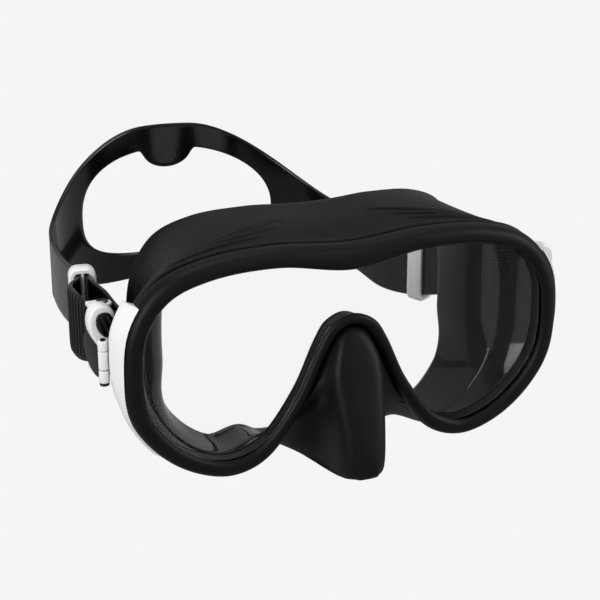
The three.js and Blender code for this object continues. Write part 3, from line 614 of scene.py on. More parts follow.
def make_skirt():
    """The skirt's shell with its nose pocket; the cheeks beside the nose are evened out."""
    rows = skirt_rows()
    bm = skin(rows, along=True)
    held = {v for v in bm.verts if v.is_boundary}
    held |= {e.other_vert(v) for v in held for e in v.link_edges}
    free = [
        v
        for v in bm.verts
        if abs(v.co.x) < CHEEK_REACH * MM
        and v.co.y > CHEEK_FRONT * MM
        and v.co.z < CHEEK_TOP * MM
        and v not in held
    ]
    for _ in range(5):
        bmesh.ops.smooth_vert(
            bm, verts=free, factor=0.5, use_axis_x=True, use_axis_y=True, use_axis_z=True
        )
    centre = Vector((0, -20, 0)) * MM
    outward = sum(f.normal.dot(f.calc_center_median() - centre) * f.calc_area() for f in bm.faces)
    if outward < 0:
        bmesh.ops.reverse_faces(bm, faces=bm.faces)
    skirt = piece("skirt_body", bm, ("Matte silicone", "Polished silicone"), "mask", ["skirt"])
    wall = skirt.modifiers.new("Wall", "SOLIDIFY")
    wall.thickness = bpy.context.scene.mask_sizes.skirt_wall
    wall.offset = -1
    wall.use_even_offset = False
    wall.material_offset = 1
    wall.material_offset_rim = 0
    round_off(skirt, 1)
    return rows


def make_flange():
    """The inner flange that lies behind the chassis, all round the window."""

    def profile(s):
        front = CHASSIS_HIGH.y + GAP
        inner = mix(0.9, 2.3, smoothstep(0.0, 0.25, s.notch))
        root = max(s.rim - 1.9, inner + 1.0)
        return [
            (inner + 0.2, front),
            (inner, front + 0.5),
            (inner + 0.2, front + 1.5),
            (mix(inner, root, 0.5), front + 1.9),
            (root, front + 2.3),
            (root + 0.4, front + 1.2),
            (root, front),
        ]

    piece("skirt_flange", outline_ring(profile), "Matte silicone", "mask", (), 1)


def make_inner_lip():
    """The second, inner lip of the face seal; it fades out towards the nose."""
    apex = next(i for i, s in enumerate(OUTLINE) if s.notch >= 0.3)
    last = max(i for i, s in enumerate(OUTLINE) if s.notch >= 0.3)
    order = OUTLINE[last + 1 :] + OUTLINE[:apex]
    reach_all = bpy.context.scene.mask_sizes.lip_reach / MM
    rows = []
    for s in order:
        wall = wall_points(s)
        reach = reach_all * (1 - smoothstep(0.0, 0.3, s.notch)) * smoothstep(-34, -12, s.z)
        inward = Vector((-s.nx, 0, -s.nz))
        base = wall[7] + inward * 1.9
        middle = wall[8] + inward * (2.0 + 0.75 * reach)
        edge = wall[9] + inward * (2.0 + reach) + Vector((0, 1.0, 0))
        tip = wall[10] + inward * (2.4 + 0.95 * reach)
        rows.append(curve_line([base, middle, edge, tip], steps=3))
    bm = skin(rows)
    lip = piece("skirt_inner_lip", bm, "Polished silicone", "mask")
    wall = lip.modifiers.new("Wall", "SOLIDIFY")
    wall.thickness = 0.9 * MM
    wall.offset = 0
    round_off(lip, 1)


def make_brow_ribs(rows):
    """Three raised ribs on each side of the brow, fanning out from behind the rim."""
    columns = len(rows[0])

    def surface(u, v):
        i, k = int(math.floor(u)), min(int(v), columns - 2)
        a = rows[i % STATIONS][k].lerp(rows[i % STATIONS][k + 1], v - k)
        b = rows[(i + 1) % STATIONS][k].lerp(rows[(i + 1) % STATIONS][k + 1], v - k)
        return a.lerp(b, u - i)

    def normal(u, v):
        across = surface(u + 0.5, v) - surface(u - 0.5, v)
        along = surface(u, v + 0.3) - surface(u, v - 0.3)
        n = across.cross(along).normalized()
        return n if n.z > 0 else -n

    steps, sides = 40, 10
    for side, sign in (("right", -1), ("left", 1)):
        for k in range(3):
            line, radii = [], []
            for i in range(steps + 1):
                t = i / steps
                u = sign * mix(8 + 2.2 * k, 26.5 + 0.9 * k, t)
                v = mix(15.2 - 1.9 * k, 10.6 - 0.5 * k, t**1.35)
                swell = math.sin(math.pi * min(1, t + 0.02)) ** 0.5
                line.append((surface(u, v), normal(u, v)))
                radii.append(0.85 * swell + 0.02)
            loops = []
            for i, (p, n) in enumerate(line):
                before, after = line[max(i - 1, 0)][0], line[min(i + 1, steps)][0]
                along = (after - before).normalized()
                cross = along.cross(n).normalized()
                centre = p - n * 0.12
                loops.append(
                    [
                        centre
                        + cross * math.cos(2 * math.pi * j / sides) * radii[i] * 1.35
                        + n * math.sin(2 * math.pi * j / sides) * radii[i]
                        for j in range(sides)
                    ]
                )
            bm = skin(loops, around=True, caps=True)
            piece(f"brow_rib_{side}_{k + 1}", bm, "Matte silicone", "mask", (), 1)


# ---- wings and hinges --------------------------------------------------------------------
KNUCKLE_RADIUS = 1.8
# Outer edge (x, z) of the right-hand wing, from its flat top down to its lower tip.
WING_EDGE = [
    (-80.9, 18.2),
    (-84.0, 12.4),
    (-85.8, 7.4),
    (-86.3, -1.0),
    (-86.2, -8.0),
    (-85.6, -13.0),
    (-83.2, -20.6),
    (-79.4, -29.0),
    (-74.6, -36.6),
]


def make_wings():
    """White side wings: a smooth plate from behind the rim out to two hinge knuckles."""
    side = [s for s in OUTLINE if s.x < 0 and s.notch == 0 and -36 < s.z < 14.6]
    side.sort(key=lambda s: -s.z)
    edge = curve_line([(x, -38.2, z) for x, z in WING_EDGE])
    lengths = line_lengths(edge)
    front = RIM_HIGH.y + GAP
    rows = []
    for i, s in enumerate(side):
        out = at_length(edge, lengths, lengths[-1] * i / (len(side) - 1))
        lead = s.offset(s.rim - 0.1, front - 4.9)
        tail = 1 - smoothstep(len(side) - 16, len(side) - 1, i)
        lead.y = mix(front - 0.5, lead.y, tail)
        second = s.offset(s.rim + 0.45, mix(front, front - 3.6, tail))
        middle = second.lerp(out, 0.5) + Vector((s.nx * 0.5, -0.5, s.nz * 0.5))
        inward = Vector((-s.nx, 0, -s.nz))
        rows.append(
            [
                s.offset(s.rim + 0.1, front - 3.2 * tail),
                lead,
                second,
                middle,
                out,
                out + Vector((0.15, 1.1, 0)),
                out + inward * 1.3 + Vector((0, 1.2, 0)),
                s.offset(s.rim + 0.1, front + 1.0),
            ]
        )
    rows.insert(0, [p + Vector((0, 0, 0.12)) for p in rows[0]])
    rows.append([p + Vector((0, 0, -0.12)) for p in rows[-1]])
    plate = skin(rows, around=True, caps=True)
    low, high = HINGE_LOW.z + 2.8, HINGE_HIGH.z
    knuckles = [
        post(HINGE.x, HINGE.y, low + 1.5, low + 5.9, KNUCKLE_RADIUS, 0.35),
        post(HINGE.x, HINGE.y, high - 4.0, high - 0.4, KNUCKLE_RADIUS, 0.35),
    ]
    both_sides("wing_shell", joined(plate, *knuckles), "White plastic", "mask", "wing", 40)
    head = post(HINGE.x, HINGE.y, low + 0.4, low + 1.7, 1.7, 0.4)
    shank = post(HINGE.x, HINGE.y, low + 1.5, high + 0.2, 0.9)
    both_sides("fold_pin", joined(head, shank), "Black plastic", "mask", "hinge_pin", 40)


# ---- buckles -----------------------------------------------------------------------------
def closed_curve(points, count):
    line = curve_line([(a, 0, b) for a, b in points], closed=True)
    return [(p.x, p.z) for p in spaced(line, count, closed=True)]


# Front view (x, z) of the right-hand buckle's body: a round head and an S-shaped neck.
BUCKLE_FRONT = [
    (-87.0, 16.0),
    (-89.9, 15.2),
    (-91.6, 12.0),
    (-91.7, 7.6),
    (-90.3, 3.8),
    (-88.6, 0.8),
    (-87.7, -2.4),
    (-87.3, -6.0),
    (-87.6, -9.4),
    (-86.0, -10.0),
    (-84.6, -9.0),
    (-84.3, -4.0),
    (-84.1, 1.0),
    (-83.1, 5.0),
    (-82.4, 9.6),
    (-83.4, 14.0),
]
# Side view (y, z) of the leaf-shaped cover behind it.
LEAF_SIDE = [
    (-16.6, -0.2),
    (-19.5, 3.0),
    (-23.5, 4.8),
    (-27.4, 4.2),
    (-29.6, 1.0),
    (-30.6, -4.5),
    (-30.2, -9.6),
    (-27.8, -12.0),
    (-23.2, -11.4),
    (-18.4, -8.2),
    (-16.0, -4.0),
]
LEAF_REAR_X, LEAF_FRONT_X = -88.4, -86.6


def leaf_place(lift):
    """Turns (y, z, outward) of the leaf's own plane into a point."""
    turn = Vector((LEAF_FRONT_X - LEAF_REAR_X, -14.0, 0)).normalized()
    out = Vector((-turn.y, turn.x, 0))
    out = out if out.x < 0 else -out

    def place(y, z, c):
        share = (y + 16) / -14.0
        return Vector((mix(LEAF_REAR_X, LEAF_FRONT_X, share), y, z)) + out * (c + lift)

    return place


def grown(points, amount):
    """An outline moved outwards from its middle."""
    cx = sum(a for a, _ in points) / len(points)
    cz = sum(b for _, b in points) / len(points)
    bigger = []
    for a, b in points:
        length = math.hypot(a - cx, b - cz)
        bigger.append((a + (a - cx) / length * amount, b + (b - cz) / length * amount))
    return bigger


ARM_HEIGHT, ARM_THICKNESS, ARM_RADIUS = 10.6, 1.7, 2.9  # the arms that hold the strap's pin
LEAF_BORDER = 1.3


def buckle_arm(z):
    """One arm of the buckle, round where it holds the pin."""
    outline = [(-88.0, -28.0), (-84.0, -28.5)]
    for i in range(9):
        turn = math.pi * i / 8
        x = PIN.x + 0.4 + ARM_RADIUS * math.sin(turn)
        outline.append((x, PIN.y - ARM_RADIUS * math.cos(turn)))
    outline.append((-88.4, PIN.y + ARM_RADIUS))
    return slab(outline, lambda a, b, c: (a, b, z + c), ARM_THICKNESS, 0.45, 3)


def make_buckles():
    """The folding buckles, the leaf-shaped covers on them and the strap's pins."""
    front = closed_curve(BUCKLE_FRONT, 56)
    body = slab(front, lambda a, b, c: (a + 0.9, -31.4 + c, b - 1.0), 6.0, 1.5, 4)
    border = closed_curve(grown(LEAF_SIDE, LEAF_BORDER), 48)
    plate = slab(border, leaf_place(-2.4), 2.6, 0.7, 3)
    half = ARM_HEIGHT
    arms = [buckle_arm(half), buckle_arm(-half - ARM_THICKNESS)]
    spine = slab(
        [(-87.5, -half - 0.6), (-85.2, -half - 0.6), (-85.2, 4.0), (-87.5, 4.0)],
        lambda a, b, c: (a, -31.5 + c, b), 4.4, 0.6, 3,
    )
    knuckle = post(HINGE.x, HINGE.y, -6.2, 0.4, KNUCKLE_RADIUS, 0.35)
    web = slab(
        [(-88.4, -6.0), (-85.6, -6.0), (-85.6, 0.2), (-88.4, 0.2)],
        lambda a, b, c: (a, HINGE.y + c, b), 3.6, 0.5, 2,
    )
    whole = joined(body, plate, spine, knuckle, web, *arms)
    both_sides("buckle_body", whole, "White plastic", "side", "buckle", 35)

    leaf = slab(closed_curve(LEAF_SIDE, 48), leaf_place(0.2), 1.0, 0.45, 3)
    both_sides("leaf_cover", leaf, "Black plastic", "side", "buckle_cover", 35)

    pin = post(PIN.x, PIN.y, -half - 1.9, half + 1.95, 1.1, 0.3)
    both_sides("strap_pin", pin, "Steel", "side", "roller_pin", 40)


# Front view (x, z) of the thumb button.
BUTTON_FRONT = [
    (-88.7, 12.6),
    (-89.3, 9.6),
    (-88.4, 6.6),
    (-86.2, 4.5),
    (-84.2, 4.4),
    (-83.2, 7.0),
    (-83.3, 10.4),
    (-84.6, 12.9),
    (-86.8, 13.4),
]


def make_buttons():
    """The thumb buttons, each a pad with three slanting ribs."""
    front = closed_curve(BUTTON_FRONT, 44)
    pad = slab(front, lambda a, b, c: (a + 0.7, -32.2 + c, b - 0.8), 2.6, 0.6, 3)
    ribs = []
    tilt = math.radians(24)
    for i, reach in ((-1, 2.9), (0, 3.9), (1, 3.2)):
        rib = bmesh.new()
        bmesh.ops.create_uvsphere(rib, u_segments=24, v_segments=14, radius=MM)
        bmesh.ops.scale(rib, verts=rib.verts, vec=(0.85, 1.0, reach))
        slant = Matrix.Rotation(-tilt, 3, "Y")
        bmesh.ops.rotate(rib, verts=rib.verts, cent=(0, 0, 0), matrix=slant)
        middle = Vector((-85.4 + 1.95 * i, -32.3, 8.0 + 0.5 * i))
        bmesh.ops.translate(rib, verts=rib.verts, vec=middle * MM)
        ribs.append(rib)
    button = joined(pad, *ribs)
    nodes = "release_button button_spring"
    both_sides("thumb_button", button, "Black plastic", "thumb", nodes, 40)


# ---- strap -------------------------------------------------------------------------------
STRAP_HALF = 12.5
RING_RADIUS = 65
RING_CENTRE_X = -11.5
RING_CENTRE_Y = 64
RING_OPENING = (47.5, 23.5)  # half length and half height
RING_HALF_HEIGHT = 34.5
RING_TAB = (11.5, 9.0)  # half width and drop of the rounded tab
# Between the right keeper and its back the strap stands out and hangs down this far.
NEAR_BULGE, NEAR_SAG = 2.0, 6.0
MAIN_X = abs(PIN.x) - 3.2
SPLIT_Y = 70  # where the ends of the strap meet its back


def strap_route():
    points = [
        (-MAIN_X + 2.6, PIN.y - 3.2, 0),
        (-MAIN_X + 1.4, PIN.y + 6, 0),
        (-MAIN_X - 0.4, KEEPER_RIGHT.y - 6, 0),
        (-MAIN_X + 1, KEEPER_RIGHT.y + 6, -0.8),
        (-MAIN_X + 2.3 - NEAR_BULGE, 40, -NEAR_SAG * 0.85),
    ]
    bends = 12
    for i in range(bends + 1):
        turn = math.pi * (1 - i / bends)
        droop = -8 * smoothstep(bends / 2, bends, i) - NEAR_SAG * (1 - smoothstep(0, 3.5, i))
        bulge = NEAR_BULGE * (1 - smoothstep(0, 4, i))
        points.append(
            (
                RING_CENTRE_X + RING_RADIUS * math.cos(turn) - bulge,
                RING_CENTRE_Y + RING_RADIUS * math.sin(turn),
                1.5 * math.sin(turn) + droop,
            )
        )
    left_side = [(22.8, 48, -11), (17, 36, -11), (11.8, 25, -8.5), (5.8, 11, -4.5), (1.6, -1, -1)]
    for inset, y, z in left_side:
        points.append((MAIN_X - inset, y, z))
    points += [(MAIN_X - 0.6, PIN.y + 8, 0), (MAIN_X - 2.6, PIN.y - 3.2, 0)]
    return curve_line(points)


ROUTE = strap_route()
ROUTE_LENGTHS = line_lengths(ROUTE)


def route_at(distance):
    """A point of the main layer, its direction in plan and the side that faces outwards."""
    p = at_length(ROUTE, ROUTE_LENGTHS, distance)
    before, after = (at_length(ROUTE, ROUTE_LENGTHS, distance + d) for d in (-0.5, 0.5))
    along = after - before
    along.z = 0
    along.normalize()
    return p, along, Vector((-along.y, along.x, 0))


def route_near(place, sign):
    """The main layer nearest to a place on one side: its point, direction and outward side."""
    nearest = min(
        range(len(ROUTE)),
        key=lambda i: (ROUTE[i] - place).length if ROUTE[i].x * sign > 0 else math.inf,
    )
    p, along, out = route_at(ROUTE_LENGTHS[nearest])
    return p, along, out if out.x * sign > 0 else -out


def distance_where(test):
    for i, p in enumerate(ROUTE):
        if test(p):
            return ROUTE_LENGTHS[i]
    raise ValueError("the strap route never reaches that place")


RING_DISTANCE = distance_where(lambda p: p.y > 100 and p.x > RING_CENTRE_X)
RIGHT_SPLIT = distance_where(lambda p: p.y > SPLIT_Y)
LEFT_SPLIT = distance_where(lambda p: p.x > 0 and p.y < SPLIT_Y and p.y > 0)


def band_profile(half, thick, ribs=0.0):
    """Section of the strap as (outward, height) pairs, with rounded edges."""
    t, r = thick / 2, min(thick / 2, 0.8)
    face = [(-t, -half + r), (-t, -half * 0.5), (-t, 0), (-t, half * 0.5), (-t, half - r)]
    top = [(-t + 0.25, half - 0.2), (0, half), (t - 0.25, half - 0.2)]
    outer = [(-a + ribs, b) for a, b in reversed(face)]
    bottom = [(a, -b) for a, b in reversed(top)]
    return face + top + outer + bottom


def band(places, thick):
    """A flat band on edge. places holds (point, outward direction, half height, rib height)."""
    rows = []
    for p, out, half, rib in places:
        rows.append([p + out * a + Vector((0, 0, b)) for a, b in band_profile(half, thick, rib)])
    rows.insert(0, [p.copy() for p in rows[0]])
    rows.append([p.copy() for p in rows[-1]])
    return skin(rows, around=True, caps=True)


def directions(points, side):
    """Outward plan directions for a line of points; side is +1 or -1."""
    outs = []
    for i in range(len(points)):
        along = points[min(i + 1, len(points) - 1)] - points[max(i - 1, 0)]
        along.z = 0
        along.normalize()
        outs.append(Vector((-along.y, along.x, 0)) * side)
    return outs


TAIL_OFFSET = 3.4  # from the main layer to the ribbed tail outside it
TAIL_STEP = 0.35  # spacing of the sections that carry the ribs
MAIN_STEPS = 60
END_OVERLAP = 1.5  # how far an end reaches past the start of the strap's back
RIB_HEIGHT = 0.55


def make_strap_end(side):
    """One end of the strap: the ribbed tail outside, the fold round the pin, the main layer."""
    thick = bpy.context.scene.mask_sizes.strap_thickness / MM
    pitch = bpy.context.scene.mask_sizes.rib_pitch / MM
    sign = -1 if side == "right" else 1
    keeper = KEEPER_RIGHT if side == "right" else KEEPER_LEFT
    p, along, out = route_near(keeper, sign)
    back = along if along.y > 0 else -along
    base = p + out * TAIL_OFFSET
    base.z = keeper.z
    tail_points = [
        base + back * 11 + out * 1.4,
        base + back * 5.5 + out * 0.3,
        base - back * 4,
        Vector((sign * 88.2, 2.5 if side == "right" else 14, keeper.z * 0.45)),
        Vector((sign * 89.0, -4, keeper.z * 0.12)),
        Vector((sign * 88.2, -12, 0)),
        Vector((sign * 86.0, PIN.y - 0.5, 0)),
        Vector((sign * 83.6, PIN.y - 4.6, 0)),
        Vector((sign * 80.6, PIN.y - 5.2, 0)),
        Vector((sign * 78.0, PIN.y - 4.4, 0)),
    ]
    route = ROUTE if side == "right" else ROUTE[::-1]
    split = RIGHT_SPLIT if side == "right" else ROUTE_LENGTHS[-1] - LEFT_SPLIT
    lengths = line_lengths(route)
    step = (split + END_OVERLAP) / MAIN_STEPS
    main = [at_length(route, lengths, d * step) for d in range(1, MAIN_STEPS + 1)]
    line = curve_line(tail_points + main[:2], steps=16)[: 16 * (len(tail_points) - 1) + 1]
    lengths = line_lengths(line)
    fine_count = int(lengths[-1] / TAIL_STEP) + 1
    points = [at_length(line, lengths, i * TAIL_STEP) for i in range(fine_count)] + main
    outs = directions(points, -1 if side == "right" else 1)
    places = []
    ribbed = lengths[-1] - 12
    for i, (q, o) in enumerate(zip(points, outs)):
        travelled = i * TAIL_STEP if i < fine_count else lengths[-1] + (i - fine_count + 1) * step
        fold = 1 - smoothstep(6, 20, abs(travelled - lengths[-1] + 4))
        half = STRAP_HALF - 2.3 * fold - 1.2 * (1 - smoothstep(0, 5, travelled))
        rib = 0.0
        if 2 < travelled < ribbed:
            rib = RIB_HEIGHT * max(0.0, math.sin(2 * math.pi * travelled / pitch)) ** 0.6
        places.append((q, o, half, rib))
    bm = band(places, thick)
    made = piece(f"strap_end_{side}", bm, "Strap silicone", None, [f"strap_{side}"], 1)
    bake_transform(made)


def smooth_max(a, b, soft):
    """The larger of two values, with the corner between them rounded."""
    return (a + b + math.sqrt((a - b) ** 2 + soft**2)) / 2


def ring_edges(s):
    """Heights of the ring's upper and lower outer edge at a distance from its middle."""
    upper = mix(RING_HALF_HEIGHT, STRAP_HALF, smoothstep(10, 84, abs(s)))
    reach = clamp01(1 - (s / 66) ** 2.6) if s > 0 else clamp01(1 - (-s / 67) ** 4)
    lower = -smooth_max(35.0 * reach**0.62, STRAP_HALF, 2.0) + 0.1
    return upper, lower


def ring_inner(turn):
    """A point of the opening's edge, as (distance along the strap, height)."""
    s = RING_OPENING[0] * power(math.cos(turn), 0.85)
    h = RING_OPENING[1] * power(math.sin(turn), 0.8)
    half, drop = RING_TAB
    tab = drop * max(0.0, 1 - (s / half) ** 2) ** 0.55 if h > 0 else 0.0
    return s, h - tab


def make_strap_back():
    """The split back of the strap: one opening, a rounded tab at its top, two side bands."""
    thick = bpy.context.scene.mask_sizes.strap_thickness / MM
    count, across = 240, 10
    right, left = RIGHT_SPLIT - RING_DISTANCE, LEFT_SPLIT - RING_DISTANCE
    quarter, ends = count // 4, 8

    def outer(k):
        part, step = divmod(k, quarter)
        rising = step if part % 2 == 0 else quarter - step
        reach = left if part in (0, 3) else right
        top = part < 2
        if rising < ends:
            h = STRAP_HALF * rising / ends
            return reach, h if top else -h
        s = reach * (1 - (rising - ends) / (quarter - ends)) ** 0.9
        upper, lower = ring_edges(s)
        return s, upper if top else lower

    profiles = []
    for k in range(count):
        s0, h0 = ring_inner(2 * math.pi * k / count)
        s1, h1 = outer(k)
        at_end = (k % quarter < ends and (k // quarter) % 2 == 0) or (
            quarter - k % quarter < ends and (k // quarter) % 2 == 1
        )
        section = []
        width = math.hypot(s1 - s0, h1 - h0)
        inset = 0.5 / max(width, 1)
        last = 1 if at_end else 1 - inset
        shares = [inset] + [row / across for row in range(1, across)] + [last]
        for share in shares:
            section.append((mix(s0, s1, share), mix(h0, h1, share), thick / 2))
        section.append((s1, h1, thick / 2 if at_end else 0.0))
        for share in reversed(shares):
            section.append((mix(s0, s1, share), mix(h0, h1, share), -thick / 2))
        section.append((s0, h0, 0.0))
        points = []
        for s, h, c in section:
            p, _, out = route_at(RING_DISTANCE + s)
            points.append(p + out * c + Vector((0, 0, h)))
        profiles.append(points)
    bm = skin(profiles, around=True, along=True)
    made = piece("strap_ring", bm, "Strap silicone", None, ["strap_back"], 1)
    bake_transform(made)


def make_keeper(side):
    """A white loop with rounded corners and a bar between its two slots."""
    node = f"keeper_{side}"
    low, high = cad_box(node)
    middle = (low + high) / 2
    p, along, out = route_near(middle, -1 if side == "right" else 1)
    centre = p + out * 1.7
    centre.z = middle.z
    half_a, half_z, corner = 3.9, 13.6, 2.4
    path = []
    for cx, cz, start in ((1, 1, 0), (-1, 1, 90), (-1, -1, 180), (1, -1, 270)):
        for k in range(9):
            turn = math.radians(start + 90 * k / 8)
            path.append(
                (
                    cx * (half_a - corner) + corner * math.cos(turn),
                    cz * (half_z - corner) + corner * math.sin(turn),
                    math.cos(turn),
                    math.sin(turn),
                )
            )
    section = [
        (-1.0, -2.9), (-0.6, -3.4), (0.5, -3.4), (1.0, -2.7),
        (1.05, 0), (1.0, 2.7), (0.5, 3.4), (-0.6, 3.4), (-1.0, 2.9), (-1.0, 0),
    ]
    rows = []
    for a, b, na, nb in path:
        rows.append(
            [
                centre + out * (a + na * r) + Vector((0, 0, b + nb * r)) + along * c
                for r, c in section
            ]
        )
    loop = skin(rows, around=True, along=True)
    bar = slab(
        [(-0.55, -2.8), (0.55, -2.8), (0.55, 2.8), (-0.55, 2.8)],
        lambda a, b, c: centre + out * a + along * b + Vector((0, 0, c - half_z)),
        2 * half_z, 0.3, 2,
    )
    whole = joined(loop, bar)
    piece(f"strap_keeper_{side}", whole, "White plastic", f"slider_{side}", [node], 0, 50)


# ---- stage -------------------------------------------------------------------------------
BACKDROP = (0.913, 0.913, 0.913)


def seen_directly(tree, otherwise):
    """A socket that is 1 for what the camera sees, straight or through the lens."""
    nodes, links = tree.nodes, tree.links
    path = nodes.new("ShaderNodeLightPath")
    seen = nodes.new("ShaderNodeMath")
    seen.operation = "MAXIMUM"
    level = nodes.new("ShaderNodeMapRange")
    level.inputs["To Min"].default_value = otherwise
    level.inputs["To Max"].default_value = 1.0
    links.new(path.outputs["Is Camera Ray"], seen.inputs[0])
    links.new(path.outputs["Is Transmission Ray"], seen.inputs[1])
    links.new(seen.outputs["Value"], level.inputs["Value"])
    return level.outputs["Result"]


def make_floor():
    bm = bmesh.new()
    bmesh.ops.create_grid(bm, x_segments=1, y_segments=1, size=30)
    bmesh.ops.translate(bm, verts=bm.verts, vec=(0, 0, CAD_LOW.z - 0.16))
    mesh = bpy.data.meshes.new("floor")
    bm.to_mesh(mesh)
    bm.free()
    floor = bpy.data.objects.new("floor", mesh)
    bpy.context.scene.collection.objects.link(floor)
    made = bpy.data.materials.new("Pale floor")
    made.use_nodes = True
    nodes, links = made.node_tree.nodes, made.node_tree.links
    nodes.clear()
    out = nodes.new("ShaderNodeOutputMaterial")
    glow = nodes.new("ShaderNodeEmission")
    glow.inputs["Color"].default_value = (*BACKDROP, 1)
    strength = seen_directly(made.node_tree, bpy.context.scene.mask_sizes.floor_glow)
    links.new(strength, glow.inputs["Strength"])
    links.new(glow.outputs["Emission"], out.inputs["Surface"])
    mesh.materials.append(made)


def softbox(name, place, target, size, power_w):
    light = bpy.data.lights.new(name, "AREA")
    light.shape = "RECTANGLE"
    light.size, light.size_y = size
    light.energy = power_w
    lamp = bpy.data.objects.new(name, light)
    bpy.context.scene.collection.objects.link(lamp)
    lamp.location = place
    lamp.rotation_mode = "QUATERNION"
    lamp.rotation_quaternion = (Vector(target) - Vector(place)).to_track_quat("-Z", "Y")
    lamp.visible_camera = False


CAMERA_AZIMUTH = math.radians(-22.9)  # from straight ahead, towards the wearer's right
CAMERA_ELEVATION = math.radians(20)
CAMERA_DISTANCE = 0.520
CAMERA_TARGET = Vector((-0.020, LENS_LOW.y * MM, 0.0127))
CAMERA_LENS = 90.5


def make_camera():
    azimuth, elevation = CAMERA_AZIMUTH, CAMERA_ELEVATION
    back = Vector(
        (
            math.sin(azimuth) * math.cos(elevation),
            -math.cos(azimuth) * math.cos(elevation),
            math.sin(elevation),
        )
    )
    data = bpy.data.cameras.new("camera")
    data.sensor_width = 36
    data.lens = CAMERA_LENS
    camera = bpy.data.objects.new("camera", data)
    bpy.context.scene.collection.objects.link(camera)
    camera.location = CAMERA_TARGET + back * CAMERA_DISTANCE
    camera.rotation_mode = "QUATERNION"
    camera.rotation_quaternion = (-back).to_track_quat("-Z", "Y")
    data.clip_start, data.clip_end = 0.01, 100
    bpy.context.scene.camera = camera


def make_world():
    world = bpy.data.worlds.new("studio")
    bpy.context.scene.world = world
    world.use_nodes = True
    sky = world.node_tree.nodes["Background"]
    sky.inputs["Color"].default_value = (*BACKDROP, 1)
    seen = seen_directly(world.node_tree, bpy.context.scene.mask_sizes.world_light)
    world.node_tree.links.new(seen, sky.inputs["Strength"])


# ---- add-on ------------------------------------------------------------------------------
class MaskSizes(bpy.types.PropertyGroup):
    """Sizes that can be changed without touching the frame."""

    rim_crown: FloatProperty(
        name="Rim crown", description="How far the rim's face curves back to its outer edge",
        default=1.9 * MM, subtype="DISTANCE", unit="LENGTH",
    )
    skirt_wall: FloatProperty(
        name="Skirt wall", description="Thickness of the skirt's silicone wall",
        default=1.8 * MM, subtype="DISTANCE", unit="LENGTH",
    )
    lip_reach: FloatProperty(
        name="Inner lip reach", description="How far the inner seal lip stands in from the wall",
        default=5.5 * MM, subtype="DISTANCE", unit="LENGTH",
    )
    strap_thickness: FloatProperty(
        name="Strap thickness", description="Thickness of the strap's silicone",
        default=1.8 * MM, subtype="DISTANCE", unit="LENGTH",
    )
    rib_pitch: FloatProperty(
        name="Strap rib pitch", description="Distance between the ribs on the strap's ends",
        default=2.6 * MM, subtype="DISTANCE", unit="LENGTH",
    )
    world_light: FloatProperty(
        name="Room light", description="Strength of the even light all round", default=0.45,
    )
    floor_glow: FloatProperty(
        name="Floor light", description="How strongly the floor lights the mask from below",
        default=0.35,
    )
    key_light: FloatProperty(
        name="Main light", description="Power of the main softbox", default=9.0, unit="POWER",
    )


class MaskColours(bpy.types.PropertyGroup):
    """Base colours of the finishes."""

    silicone: FloatVectorProperty(
        name="Silicone", description="Skirt and rim", subtype="COLOR",
        default=(0.0042, 0.0043, 0.0044), min=0, max=1,
    )
    strap: FloatVectorProperty(
        name="Strap", description="Head strap", subtype="COLOR",
        default=(0.0022, 0.0022, 0.0023), min=0, max=1,
    )
    white_plastic: FloatVectorProperty(
        name="White plastic", description="Wings, buckles and keepers", subtype="COLOR",
        default=(0.86, 0.86, 0.85), min=0, max=1,
    )
    black_plastic: FloatVectorProperty(
        name="Black plastic", description="Buttons, covers and pins", subtype="COLOR",
        default=(0.006, 0.006, 0.0064), min=0, max=1,
    )
    steel: FloatVectorProperty(
        name="Steel", description="Strap pins", subtype="COLOR",
        default=(0.56, 0.57, 0.58), min=0, max=1,
    )
    glass: FloatVectorProperty(
        name="Glass", description="Tint of the lens", subtype="COLOR",
        default=(0.99, 1.0, 0.995), min=0, max=1,
    )


class MASK_OT_rim(bpy.types.Operator):
    """Makes the rim and the chassis ring that hold the lens"""

    bl_idname = "mask.rim"
    bl_label = "Rim and chassis"

    def execute(self, context):
        rim, ring = outline_ring(rim_profile), outline_ring(chassis_profile)
        piece("rim_cover", rim, "Matte silicone", "mask", ["front_rim"], 1)
        piece("chassis", ring, "Black plastic", "mask", ["chassis_ring"], 0, 40)
        return {"FINISHED"}


class MASK_OT_skirt(bpy.types.Operator):
    """Makes the silicone skirt with its flange, inner lip and brow ribs"""

    bl_idname = "mask.skirt"
    bl_label = "Skirt"

    def execute(self, context):
        rows = make_skirt()
        make_flange()
        make_inner_lip()
        make_brow_ribs(rows)
        return {"FINISHED"}


class MASK_OT_wings(bpy.types.Operator):
    """Makes the side wings and the pins that the buckles fold on"""

    bl_idname = "mask.wings"
    bl_label = "Wings"

    def execute(self, context):
        make_wings()
        return {"FINISHED"}


class MASK_OT_buckles(bpy.types.Operator):
    """Makes the folding buckles, their covers and the strap's pins"""

    bl_idname = "mask.buckles"
    bl_label = "Buckles"

    def execute(self, context):
        make_buckles()
        return {"FINISHED"}


class MASK_OT_buttons(bpy.types.Operator):
    """Makes the thumb buttons"""

    bl_idname = "mask.buttons"
    bl_label = "Thumb buttons"

    def execute(self, context):
        make_buttons()
        return {"FINISHED"}


class MASK_OT_strap(bpy.types.Operator):
    """Makes the strap: its two ends and its split back"""

    bl_idname = "mask.strap"
    bl_label = "Strap"

    def execute(self, context):
        make_strap_end("right")
        make_strap_end("left")
        make_strap_back()
        return {"FINISHED"}


class MASK_OT_keepers(bpy.types.Operator):
    """Makes the white keepers that slide on the strap"""

    bl_idname = "mask.keepers"
    bl_label = "Keepers"

    def execute(self, context):
        make_keeper("right")
        make_keeper("left")
        return {"FINISHED"}


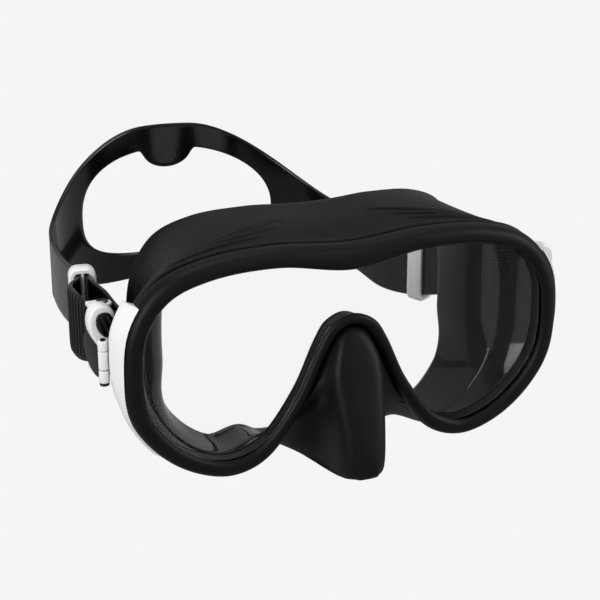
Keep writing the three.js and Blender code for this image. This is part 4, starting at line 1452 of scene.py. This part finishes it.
class MASK_OT_kept_nodes(bpy.types.Operator):
    """Gives the frame's own pieces that stay in view their finishes"""

    bl_idname = "mask.kept_nodes"
    bl_label = "Finish the frame's pieces"

    def execute(self, context):
        finishes = {"lens": "Tempered glass"}
        for side in ("right", "left"):
            finishes[f"roller_{side}"] = "Black plastic"
        for node, key in finishes.items():
            node_mesh = frame["nodes"][node].data
            node_mesh.materials.clear()
            node_mesh.materials.append(material(key))
        return {"FINISHED"}


class MASK_OT_stage(bpy.types.Operator):
    """Makes the pale floor, the soft lights and the camera"""

    bl_idname = "mask.stage"
    bl_label = "Stage"

    def execute(self, context):
        key = context.scene.mask_sizes.key_light
        make_floor()
        make_world()
        softbox("left softbox", (-0.95, -0.5, 0.45), (-0.02, 0, 0), (0.5, 0.9), key * 1.05)
        softbox("right softbox", (0.95, -0.55, 0.35), (0.02, 0, 0), (0.5, 0.9), key * 0.8)
        softbox("top softbox", (0.0, 0.1, 1.2), (0, 0, 0), (0.7, 0.5), key * 0.35)
        make_camera()
        context.scene.view_settings.view_transform = "Standard"
        return {"FINISHED"}


class MASK_PT_build(bpy.types.Panel):
    """Lists the steps that build the mask"""

    bl_idname = "MASK_PT_build"
    bl_label = "Diving mask"
    bl_space_type = "VIEW_3D"
    bl_region_type = "UI"
    bl_category = "Diving mask"

    def draw(self, context):
        for step in STEPS:
            self.layout.operator(step.bl_idname)
        for group in (context.scene.mask_sizes, context.scene.mask_colours):
            for name in group.bl_rna.properties.keys():
                if name not in {"rna_type", "name"}:
                    self.layout.prop(group, name)


STEPS = (
    MASK_OT_stage,
    MASK_OT_rim,
    MASK_OT_skirt,
    MASK_OT_wings,
    MASK_OT_buckles,
    MASK_OT_buttons,
    MASK_OT_strap,
    MASK_OT_keepers,
    MASK_OT_kept_nodes,
)
CLASSES = (MaskSizes, MaskColours, *STEPS, MASK_PT_build)


def register():
    for one in CLASSES:
        bpy.utils.register_class(one)
    bpy.types.Scene.mask_sizes = PointerProperty(type=MaskSizes)
    bpy.types.Scene.mask_colours = PointerProperty(type=MaskColours)


def unregister():
    del bpy.types.Scene.mask_colours
    del bpy.types.Scene.mask_sizes
    for one in reversed(CLASSES):
        bpy.utils.unregister_class(one)


def main():
    register()
    bpy.ops.mask.stage()
    bpy.ops.mask.rim()
    bpy.ops.mask.skirt()
    bpy.ops.mask.wings()
    bpy.ops.mask.buckles()
    bpy.ops.mask.buttons()
    bpy.ops.mask.strap()
    bpy.ops.mask.keepers()
    bpy.ops.mask.kept_nodes()
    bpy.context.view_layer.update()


if __name__ == "__main__":
    main()
